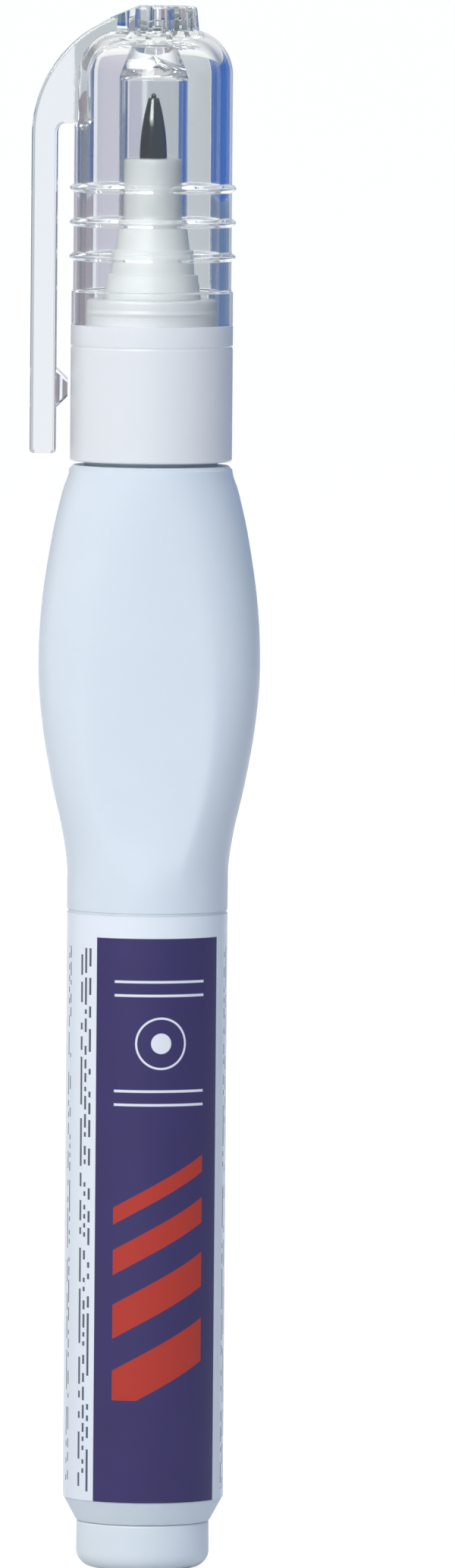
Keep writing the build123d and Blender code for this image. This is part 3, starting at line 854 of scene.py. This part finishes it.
# %% [markdown]
# ## Clear cap and clip
# The cap, its grip rings, its vented crown and the pocket clip are one moulding.  Clear plastic shows
# every inner face, so separate meshes pushed into each other would draw lines where the real one has
# none.  Here the outside is turned, the clip is a bevelled plate with a tapered bead, and Boolean
# modifiers join them and cut the hollow and the vents, as the two halves of a mould and its core do.

# %% Cap solids
cap_radius = 6.95
cap_wall = 1.05
cap_bore = cap_radius - cap_wall
mouth_band_radius = 7.1
mouth_band_top = 112.2
band_step = 0.15
ring_heights = (115.3, 118.3, 121.3)
ring_half_width = 0.35
ring_flat_half = 0.1
dome_radius = 4.0
cap_top = ceiling + cap_wall
dome_foot = cap_top - dome_radius
dome_middle = (cap_radius - dome_radius, dome_foot)
crown_foot_radius = 3.95
crown_top_radius = 3.75
crown_edge = 0.3
cut_overrun = 1.0
DOME_STEPS = 22
crown_angle = math.degrees(math.acos((crown_foot_radius - dome_middle[0]) / dome_radius))

cap_corners = [
    (0, collar_top + air_gap, 0),
    (mouth_band_radius, collar_top + air_gap, 0),
    (mouth_band_radius, mouth_band_top, 0.12),
    (cap_radius, mouth_band_top + band_step, 0.12),
]
for height in ring_heights:
    cap_corners += [
        (cap_radius, height - ring_half_width, 0.1),
        (ring_radius, height - ring_flat_half, 0.14),
        (ring_radius, height + ring_flat_half, 0.14),
        (cap_radius, height + ring_half_width, 0.1),
    ]
cap_corners.append((cap_radius, dome_foot, 0))
cap_outline = rounded(cap_corners)
cap_outline += arc_points(dome_middle, dome_radius, 0, crown_angle, DOME_STEPS)[1:]
cap_outline += rounded(
    [
        (crown_foot_radius, cap_top, 0),
        (crown_top_radius, crown_top, crown_edge),
        (0, crown_top, 0),
    ]
)
hollow_foot = collar_top - cut_overrun
hollow_outline = rounded([(0, hollow_foot, 0), (cap_bore, hollow_foot, 0), (cap_bore, dome_foot, 0)])
hollow_outline += arc_points(dome_middle, dome_radius - cap_wall, 0, 90, DOME_STEPS)[1:]
hollow_outline += [(stem_radius, ceiling), (stem_radius, liner_top), (0, liner_top)]
clear_cap = turned("clear_cap", cap_outline)
hollow = turned("cap_hollow", hollow_outline)
print(f"cap: wall {cap_wall} mm, rings at {ring_heights} mm")

# %% Clip
ARCH_STEPS = 28
clip_gap = 1.4
clip_width = 4.4
clip_end_bevel = 0.45
clip_edge_bevel = 0.28
clip_bevel_shares = (0.0, 0.12, 0.5, 1.0)
slot_drop = 8.4
slot_round = 0.7
arch_radius = 11.2
arch_rise = 1.8
bead_rise = 5.8
bead_half_length = 2.0
clip_inner = cap_radius + clip_gap
slot_top = cap_top - slot_drop
arch_middle = (arch_radius - clip_outer, cap_top + arch_rise - arch_radius)
bead_middle = clip_foot + bead_rise

clip_outline = rounded(
    [
        (-clip_inner, bead_middle, 0),
        (-clip_inner, clip_foot, clip_end_bevel),
        (-clip_outer, clip_foot, clip_end_bevel),
        (-clip_outer, arch_middle[1], 0),
    ]
)
clip_outline += arc_points(arch_middle, arch_radius, 180, 90, ARCH_STEPS)[1:]
clip_outline += rounded(
    [
        (arch_middle[0], cap_top - cut_overrun, 0),
        (arch_middle[0], slot_top, 0),
        (-clip_inner, slot_top, slot_round),
        (-clip_inner, bead_middle + bead_half_length, 0),
    ]
)


def drawn_in(outline, amount):
    """A closed outline with every point moved inwards by an amount."""
    moved = []
    for place, point in enumerate(outline):
        here = Vector(point)
        before = here - Vector(outline[place - 1])
        after = Vector(outline[(place + 1) % len(outline)]) - here
        along = (before.normalized() + after.normalized()).normalized()
        moved.append(tuple(here + Vector((along.y, -along.x)) * amount))
    return moved


side = clip_width / 2
clip_rings = []
for share in clip_bevel_shares:
    turn = math.radians(90 * share)
    inset = clip_edge_bevel * (1 - math.sin(turn))
    offset = side - clip_edge_bevel * (1 - math.cos(turn))
    clip_rings.append([(x, offset, z) for x, z in drawn_in(clip_outline, inset)])
clip_rings += [[(x, -y, z) for x, y, z in ring] for ring in reversed(clip_rings)]
clip = skin("pocket_clip", clip_rings, capped=True)
print(f"clip: {clip_width} mm wide, slot {clip_gap} mm")

# %% Bead on the clip
BEAD_STEPS = 10
BOX_CORNERS = ((-1, -1), (1, -1), (1, 1), (-1, 1))
bead_tip_half_length = 0.8
bead_half_width = 1.9
bead_tip_half_width = 1.68
bead_round = 0.35
bead_clearance = 0.25
bead_root = clip_inner + clip_edge_bevel
bead_tip = collar_radius + bead_clearance

bead_rings = []
for step in range(BEAD_STEPS + 1):
    share = step / BEAD_STEPS
    out = -bead_root + share * (bead_root - bead_tip)
    half_z = bead_half_length + share * (bead_tip_half_length - bead_half_length)
    half_y = bead_half_width + share**2 * (bead_tip_half_width - bead_half_width)
    corners = [(y * half_y, z * half_z, bead_round) for y, z in BOX_CORNERS]
    bead_rings.append([(out, y, bead_middle + z) for y, z in rounded(corners, closed=True)])
bead = skin("clip_bead", bead_rings, capped=True)
print(f"bead: stops {bead_clearance} mm from the collar")

# %% Fall of the crown and vents
vent_count = 11
vent_first_angle = -120
vent_spacing = 24
vent_width = 0.55
vent_inner = 2.6
vent_overrun = 0.2
vent_outer = crown_foot_radius + vent_overrun
crown_flat = 1.3
crown_fall_angle = 22

fall = (clip_outer - crown_flat) * math.tan(math.radians(crown_fall_angle))
fall_outline = [
    (-crown_flat, crown_top),
    (-clip_outer, crown_top - fall),
    (-clip_outer, crown_top + cut_overrun),
    (-crown_flat, crown_top + cut_overrun),
]
fall_sides = [[(x, y, z) for x, z in fall_outline] for y in (-cap_radius, cap_radius)]
crown_fall = skin("crown_fall", fall_sides, capped=True)

vents = []
for number in range(vent_count):
    turn = math.radians(vent_first_angle + vent_spacing * number)
    ends = []
    for height in (ceiling - cut_overrun, crown_top + cut_overrun):
        ring = []
        for along, across in BOX_CORNERS:
            out = (vent_inner + vent_outer) / 2 + along * (vent_outer - vent_inner) / 2
            aside = across * vent_width / 2
            x = out * math.cos(turn) - aside * math.sin(turn)
            y = out * math.sin(turn) + aside * math.cos(turn)
            ring.append((x, y, height))
        ends.append(ring)
    vents.append(skin(f"vent_{number}", ends, capped=True))
print(f"crown: falls {crown_fall_angle} degrees to the clip, {len(vents)} vents")

# %% Join and cut the cap
def combine(piece, tools):
    """Applies (tool, operation) pairs to a mesh with exact Booleans and removes the tools."""
    for tool, operation in tools:
        modifier = piece.modifiers.new(tool.name, "BOOLEAN")
        modifier.operation = operation
        modifier.solver = "EXACT"
        modifier.object = tool
    bpy.context.view_layer.update()
    graph = bpy.context.evaluated_depsgraph_get()
    made = bpy.data.meshes.new_from_object(piece.evaluated_get(graph))
    piece.modifiers.clear()
    piece.data = made
    for tool, _ in tools:
        bpy.data.objects.remove(tool)


combine(
    clear_cap,
    [(crown_fall, "DIFFERENCE"), (clip, "UNION"), (bead, "UNION"), (hollow, "DIFFERENCE")],
)
combine(clear_cap, [(vent, "DIFFERENCE") for vent in vents])
settle(clear_cap, "cap", "cap", cap_clear)

# %% [markdown]
# ## Label film
# The label is a thin printed film wrapped round the tube, with its seam at the back.  Its print is drawn
# by the material, and the mesh only needs a map of itself: how far round the pen and how far up.  The map
# runs from 0 to 1 both ways, so the material can turn it back into millimetres.

# %% Label mesh
seam_angle = 4.0
LABEL_STEPS = 178

label_length = label_top - label_foot
label_girth = 2 * math.pi * label_radius
label_outline = (
    (barrel_radius, label_foot),
    (label_radius, label_foot),
    (label_radius, label_top),
    (barrel_radius, label_top),
)
label_sections = []
for step in range(LABEL_STEPS + 1):
    angle = math.radians((360 - seam_angle) * (step / LABEL_STEPS - 0.5))
    out_x = math.sin(angle)
    out_y = -math.cos(angle)
    label_sections.append([(radius * out_x, radius * out_y, height) for radius, height in label_outline])
label_wrap = skin("label_wrap", label_sections, capped=True)
label_map = label_wrap.data.uv_layers.new(name="label_map")
for loop in label_wrap.data.loops:
    point = label_wrap.data.vertices[loop.vertex_index].co / MM
    around = math.atan2(point.x, -point.y) / (2 * math.pi) + 0.5
    label_map.data[loop.index].uv = (around, (point.z - label_foot) / label_length)
print(f"label: {label_girth:.1f} mm round, {label_length:.1f} mm tall")

# %% [markdown]
# ## Label print
# The print is a plain design of the maker's own: a navy panel on white film, a fan of red-orange slanted
# bars, thin white rules and rows of small ticks.  Each mark is a box with soft corners, cut by a signed
# distance, so one node group draws all of them at any size, with edges that stay sharp close up.

# %% Node group: printed box
BOX_INPUTS = ("Across", "Up", "Middle Across", "Middle Up", "Half Width", "Half Height", "Corner")
PRINT_EDGE = 0.03


def make_printed_box():
    """A mask that is 1 inside a box with rounded corners, in millimetres on the label."""
    group, given, out = start_group("printed_box", dict.fromkeys(BOX_INPUTS, 0.0), ["Mask"])
    corner = given.outputs["Corner"]
    parts = []
    for where, half in (("Across", "Half Width"), ("Up", "Half Height")):
        offset = math_node(group, "SUBTRACT", given.outputs[where], given.outputs[f"Middle {where}"])
        straight = math_node(group, "SUBTRACT", given.outputs[half], corner)
        parts.append(math_node(group, "SUBTRACT", math_node(group, "ABSOLUTE", offset), straight))
    out_x, out_y = (math_node(group, "MAXIMUM", part, 0.0) for part in parts)
    squared = math_node(group, "MULTIPLY_ADD", out_x, out_x, math_node(group, "MULTIPLY", out_y, out_y))
    outside = math_node(group, "SQRT", squared)
    inside = math_node(group, "MINIMUM", math_node(group, "MAXIMUM", *parts), 0.0)
    distance = math_node(group, "SUBTRACT", math_node(group, "ADD", outside, inside), corner)
    feed(group, out, Mask=remap(group, distance, PRINT_EDGE, -PRINT_EDGE))
    return group


printed_box = make_printed_box()


def printed(tree, across, up, middle, half, corner=0.0):
    """The mask of one printed box, from its middle and its half sizes."""
    values = (across, up, *middle, *half, corner)
    return use_group(tree, printed_box, **dict(zip(BOX_INPUTS, values))).outputs[0]


def highest(tree, masks):
    """The highest of several masks."""
    top = masks[0]
    for mask in masks[1:]:
        top = math_node(tree, "MAXIMUM", top, mask)
    return top


print("group", printed_box.name, "ready")

# %% Panel, bars and rules
panel_middle = 1.35
panel_half_width = 6.05
panel_middle_up = 24.7
panel_half_height = 24.9
mark_half_width = 4.2
bar_slope = 0.55
bar_places = ((12.0, 1.9), (18.2, 1.5), (23.4, 1.1), (27.5, 0.75))
bar_field_middle = 20.5
bar_field_half = 11.5
rule_places = (35.0, 36.2, 44.6, 45.8)
rule_half_height = 0.11
ring_place = 40.4
ring_mark_radii = (2.3, 2.12)
dot_radius = 0.9


def bar_mask(tree, across, up):
    """A fan of slanted bars, cut off at the edges of their field."""
    aside = math_node(tree, "SUBTRACT", across, panel_middle)
    slanted = math_node(tree, "MULTIPLY_ADD", aside, -bar_slope, up)
    field = printed(tree, across, up, (panel_middle, bar_field_middle), (mark_half_width, bar_field_half))
    bars = []
    for place, half in bar_places:
        bars.append(printed(tree, across, slanted, (panel_middle, place), (mark_half_width, half)))
    return math_node(tree, "MULTIPLY", highest(tree, bars), field)


def rule_mask(tree, across, up):
    """Thin rules above and below a ring with a dot in it."""
    marks = []
    for place in rule_places:
        marks.append(printed(tree, across, up, (panel_middle, place), (mark_half_width, rule_half_height)))
    rounds = []
    for radius in (*ring_mark_radii, dot_radius):
        rounds.append(printed(tree, across, up, (panel_middle, ring_place), (radius, radius), radius))
    outer, inner, dot = rounds
    return highest(tree, [*marks, math_node(tree, "SUBTRACT", outer, inner), dot])


print(f"panel: {2 * panel_half_width:.1f} by {2 * panel_half_height:.1f} mm, {len(bar_places)} bars")

# %% Columns of ticks
# Place across, half width, pitch and the share of the ticks that is printed.
tick_columns = (
    (-5.45, 0.13, 0.5, 0.62),
    (-6.00, 0.13, 0.4, 0.55),
    (-6.55, 0.13, 0.6, 0.62),
    (-8.60, 0.10, 0.4, 0.50),
    (-9.05, 0.10, 0.5, 0.55),
    (9.20, 0.11, 0.45, 0.55),
    (9.70, 0.11, 0.6, 0.55),
)
tick_margin = 1.0
TICK_SEED = 31.7


def tick_mask(tree, across, up):
    """Columns of short ticks, each printed or not by a fixed chance."""
    lanes = []
    for column, half_width, pitch, share in tick_columns:
        count = math_node(tree, "FLOOR", math_node(tree, "MULTIPLY", up, 1 / pitch))
        seed = math_node(tree, "ADD", count, TICK_SEED * column)
        chance = add_node(tree, "ShaderNodeTexWhiteNoise", {"noise_dimensions": "1D"}, W=seed).outputs[0]
        here = math_node(tree, "LESS_THAN", chance, share)
        half = (half_width, panel_half_height - tick_margin)
        lane = printed(tree, across, up, (column, panel_middle_up), half)
        lanes.append(math_node(tree, "MULTIPLY", here, lane))
    return highest(tree, lanes)


print(f"ticks: {len(tick_columns)} columns")

# %% Material: label print
film_white = (0.80, 0.85, 0.90, 1)
ink_navy = (0.040, 0.029, 0.132, 1)
ink_navy_deep = (0.037, 0.028, 0.118, 1)
ink_red = (0.48, 0.034, 0.018, 1)
ink_white = (0.80, 0.82, 0.88, 1)
ink_grey = (0.09, 0.10, 0.13, 1)


def make_label_print():
    """The printed film: white ground, navy panel, slanted bars, rules and ticks."""
    material, tree, shader = start_material("label_film")
    uv = add_node(tree, "ShaderNodeUVMap", {"uv_map": "label_map"})
    parts = add_node(tree, "ShaderNodeSeparateXYZ", i0=uv.outputs[0])
    across = math_node(tree, "MULTIPLY_ADD", parts.outputs[0], label_girth, -label_girth / 2)
    up = math_node(tree, "MULTIPLY", parts.outputs[1], label_length)
    mould = use_group(tree, moulded_skin, Grain_per_mm=6.0, Patch_per_mm=0.15)
    rubs = use_group(tree, handling_marks, Across_per_mm=6.0, Amount=0.3)
    navy = blend_colours(tree, mould.outputs["Mottle"], ink_navy, ink_navy_deep)
    panel_half = (panel_half_width, panel_half_height)
    layers = (
        (printed(tree, across, up, (panel_middle, panel_middle_up), panel_half), navy),
        (bar_mask(tree, across, up), ink_red),
        (rule_mask(tree, across, up), ink_white),
        (tick_mask(tree, across, up), ink_grey),
    )
    colour = film_white
    for mask, ink in layers:
        colour = blend_colours(tree, mask, colour, ink)
    set_roughness(tree, shader, mould.outputs["Gloss"], (0.30, 0.36), rubs.outputs["Mask"], rub_share=0.1)
    bump(tree, shader, mould.outputs["Height"], strength=0.1, depth_mm=0.003)
    feed(tree, shader, Base_Color=colour, Specular_IOR_Level=0.45)
    return material


label_film = make_label_print()
settle(label_wrap, "pen_body", "label", label_film)

# %% [markdown]
# ## Valve spring
# The spring that shuts the needle is a coil of thin round wire.  A curve with a bevel could draw it, but a
# mesh helix keeps the wire's ends square.  It is shorter when the needle is pressed.

# %% Valve spring
spring_turns = 5
WIRE_SIDES = 12
STEPS_PER_TURN = 48

spring_outer, spring_foot, spring_top = span("valve_spring")
wire_radius = 0.14
coil_radius = spring_outer - wire_radius
coil_rise = spring_top - spring_foot - 2 * wire_radius
spring_rings = []
for step in range(spring_turns * STEPS_PER_TURN + 1):
    turn = 2 * math.pi * step / STEPS_PER_TURN
    middle = spring_foot + wire_radius + coil_rise * step / (spring_turns * STEPS_PER_TURN)
    wire = []
    for side_step in range(WIRE_SIDES):
        angle = 2 * math.pi * side_step / WIRE_SIDES
        out = coil_radius + wire_radius * math.cos(angle)
        wire.append((out * math.cos(turn), out * math.sin(turn), middle + wire_radius * math.sin(angle)))
    spring_rings.append(wire)
wire_spring = skin("wire_spring", spring_rings, capped=True)
settle(wire_spring, "pen_body", "valve_spring", spring_steel)

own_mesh(wire_spring)

# %% [markdown]
# ## Inner works
# The needle, the spring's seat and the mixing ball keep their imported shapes, which are already right.
# They only need their finishes.

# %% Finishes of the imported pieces
for node, material in (
    ("valve_needle", tip_steel),
    ("spring_seat", nozzle_plastic),
    ("mixing_ball", ball_steel),
):
    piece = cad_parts[node]
    piece.data.materials.clear()
    piece.data.materials.append(material)
print("finished the needle, seat and ball")

# %% [markdown]
# ## Floor and world
# The photograph has a plain white ground.  The floor is pale and shows white to the camera, while its
# diffuse part still takes the pen's shadow.  Clear and shiny faces see white straight behind the pen and
# overhead, as in a studio with a white backdrop and ceiling, and a dimmer room elsewhere, a little bluer at
# the right.  Without that, every clear wall would carry a white veil.

# %% Stage helpers
def sheet(name, edges):
    """A flat stage piece between two edges of two points each, in millimetres."""
    piece = bpy.data.objects.new(name, bpy.data.meshes.new(name))
    corners = [tuple(Vector(point) * MM) for edge in edges for point in edge]
    piece.data.from_pydata(corners, [], [(0, 1, 3, 2)])
    bpy.context.scene.collection.objects.link(piece)
    return piece


def shown_white(tree, bright):
    """1 for rays from the camera, and a share from 0 to 1 for rays on from a shiny or clear face."""
    path = tree.nodes.new("ShaderNodeLightPath")
    shiny = math_node(tree, "MAXIMUM", path.outputs["Is Glossy Ray"], path.outputs["Is Transmission Ray"])
    not_lit_by = math_node(tree, "LESS_THAN", path.outputs["Diffuse Depth"], 0.5)
    backdrop = math_node(tree, "MULTIPLY", math_node(tree, "MULTIPLY", shiny, not_lit_by), bright)
    return math_node(tree, "MAXIMUM", path.outputs["Is Camera Ray"], backdrop)


BEHIND_FROM = 0.75
BEHIND_FULL = 0.95
SIDE_SHARE = 0.08


def straight_behind(tree, way_y):
    """1 for a way that leads straight behind the pen, falling to a small share at the sides and front."""
    return remap(tree, way_y, BEHIND_FROM, BEHIND_FULL, SIDE_SHARE, 1.0)


print(f"sides and front show {SIDE_SHARE} of the backdrop's white")

# %% Floor
FLOOR_REACH_MM = 15000.0
FLOOR_GLOW = 0.8
white = (1, 1, 1, 1)
floor_colour = (0.8, 0.8, 0.8, 1)
floor_edges = [[(x * FLOOR_REACH_MM, y * FLOOR_REACH_MM, 0) for x in (-1, 1)] for y in (-1, 1)]
floor = sheet("floor", floor_edges)
floor_material, floor_tree, floor_shader = start_material("floor_white")
floor_point = floor_tree.nodes.new("ShaderNodeTexCoord").outputs["Object"]
floor_way = add_node(floor_tree, "ShaderNodeVectorMath", {"operation": "NORMALIZE"}, i0=floor_point)
floor_parts = add_node(floor_tree, "ShaderNodeSeparateXYZ", i0=floor_way.outputs[0])
floor_behind = straight_behind(floor_tree, floor_parts.outputs[1])
floor_glow = math_node(floor_tree, "MULTIPLY", shown_white(floor_tree, floor_behind), FLOOR_GLOW)
feed(floor_tree, floor_shader, Base_Color=floor_colour, Roughness=1.0, Specular_IOR_Level=0.0)
feed(floor_tree, floor_shader, Emission_Color=white, Emission_Strength=floor_glow)
floor.data.materials.append(floor_material)
print("floor ready")

# %% World
CEILING_FROM = 0.35
CEILING_FULL = 0.75
left_fill = (0.22, 0.22, 0.225, 1)
right_fill = (0.25, 0.33, 0.47, 1)
world = bpy.data.worlds.new("studio")
world.use_nodes = True
bpy.context.scene.world = world
world_tree = world.node_tree
background = world_tree.nodes["Background"]
way = world_tree.nodes.new("ShaderNodeTexCoord").outputs["Generated"]
way_parts = add_node(world_tree, "ShaderNodeSeparateXYZ", i0=way)
way_behind = straight_behind(world_tree, way_parts.outputs[1])
way_above = remap(world_tree, way_parts.outputs[2], CEILING_FROM, CEILING_FULL)
way_bright = math_node(world_tree, "MAXIMUM", way_behind, way_above)
rightness = remap(world_tree, way_parts.outputs[0], -1.0, 1.0)
fill = blend_colours(world_tree, rightness, left_fill, right_fill)
shown = blend_colours(world_tree, shown_white(world_tree, way_bright), fill, white)
feed(world_tree, background, Color=shown)
print("world ready")

# %% [markdown]
# ## Lamps
# Three soft lamps stand round the pen.  The key lamp is high at the front left, so upright clear walls
# throw its reflection over the floor and not to the camera, while the leaning faces of the steel tip, the
# dome and the bulb's shoulder carry a bright spot.  A lamp at the left brightens that flank, and one behind
# lights the pen's back.  Clear plastic would show these two as white patches, so they are hidden from it,
# and the one behind is kept out of reflections as well.

# %% Lamps
pen_middle = Vector((0, 0, 70.0)) * MM


def add_lamp(name, azimuth, elevation, distance, width, height, power):
    """A soft rectangular lamp turned to the pen's middle, in metres and watts.  Minus azimuth is left."""
    lamp = bpy.data.lights.new(name, "AREA")
    lamp.shape = "RECTANGLE"
    lamp.size = width
    lamp.size_y = height
    lamp.energy = power
    holder = bpy.data.objects.new(name, lamp)
    turn = math.radians(azimuth)
    rise = math.radians(elevation)
    level = Vector((math.sin(turn), -math.cos(turn), 0)) * math.cos(rise)
    toward = level + Vector((0, 0, math.sin(rise)))
    holder.location = pen_middle + distance * toward
    holder.rotation_euler = (-toward).to_track_quat("-Z", "Y").to_euler()
    bpy.context.scene.collection.objects.link(holder)
    return holder


add_lamp("key_lamp", azimuth=-22, elevation=32, distance=0.9, width=0.6, height=0.36, power=5.7)
side_lamp = add_lamp("side_lamp", azimuth=-110, elevation=15, distance=1.0, width=0.5, height=0.9, power=1.2)
back_lamp = add_lamp("back_lamp", azimuth=165, elevation=30, distance=1.0, width=0.5, height=0.5, power=3.0)
back_lamp.visible_glossy = False
for lamp in (side_lamp, back_lamp):
    lamp.visible_transmission = False
print("lamps ready")

# %% [markdown]
# ## Cards behind the cap
# Clear plastic has no colour of its own to show: it bends the view of what stands round it.  Photographers
# stand cards behind glass for that.  Blue and dark cards far to the sides show in the cap's thick wall, and
# pale ones straight behind give its inside a soft grey.  Only clear and shiny faces see them.

# %% Cards
CARD_DISTANCE_MM = 220.0
CARD_GAP_MM = 0.1


def add_card(name, from_angle, to_angle, foot, top, colour):
    """An upright coloured card behind the pen, between two angles, seen only in clear and shiny faces."""
    ends = []
    for angle in (from_angle, to_angle):
        turn = math.radians(angle)
        ends.append((CARD_DISTANCE_MM * math.sin(turn), CARD_DISTANCE_MM * math.cos(turn)))
    card = sheet(name, [[(x, y, height) for x, y in ends] for height in (foot, top)])
    material, tree, shader = start_material(name)
    feed(tree, shader, Base_Color=(0, 0, 0, 1), Specular_IOR_Level=0.0)
    feed(tree, shader, Emission_Color=(*colour, 1), Emission_Strength=1.0)
    card.data.materials.append(material)
    card.visible_camera = False
    card.visible_shadow = False
    card.visible_diffuse = False


card_foot = 82
card_split = 114.5
card_top = 170
add_card("blue_card", 14, 72, card_split, card_top, (0.06, 0.155, 0.50))
add_card("navy_card", 14, 72, card_foot, card_split - CARD_GAP_MM, (0.14, 0.215, 0.39))
add_card("mauve_card", -74, -16, card_foot, card_split, (0.36, 0.32, 0.365))
add_card("deep_blue_card", -34, -17, card_split + CARD_GAP_MM, card_top, (0.06, 0.10, 0.25))
add_card("grey_card_right", -2.3, 13.5, card_foot, card_top, (0.62, 0.66, 0.70))
add_card("grey_card_left", -13.5, -3.9, card_foot, card_top, (0.66, 0.65, 0.76))
print("cards ready")

# %% [markdown]
# ## Camera
# The photograph looks at the pen from a little above its middle, from far enough away that its sides stay
# parallel.  The pen stands left of the middle and leans half a degree, so the camera aims beside it and
# rolls by as much.

# %% Camera
VIEW_DISTANCE = 1.6
VIEW_ELEVATION = 3.6
VIEW_ROLL = 0.47
VIEW_HEIGHT_MM = 137.73
aim = Vector((6.96, 0, 69.0)) * MM

camera_data = bpy.data.cameras.new("camera")
camera_data.sensor_width = 36.0
camera_data.lens = camera_data.sensor_width * VIEW_DISTANCE / (VIEW_HEIGHT_MM * MM)
camera = bpy.data.objects.new("camera", camera_data)
tilt = math.radians(VIEW_ELEVATION)
camera.location = aim + VIEW_DISTANCE * Vector((0, -math.cos(tilt), math.sin(tilt)))
look = (aim - camera.location).to_track_quat("-Z", "Y")
camera.rotation_euler = (look @ Euler((0, 0, math.radians(VIEW_ROLL))).to_quaternion()).to_euler()
bpy.context.scene.collection.objects.link(camera)
bpy.context.scene.camera = camera
bpy.context.scene.view_settings.view_transform = "Standard"
print(f"camera lens {camera_data.lens:.0f} mm")
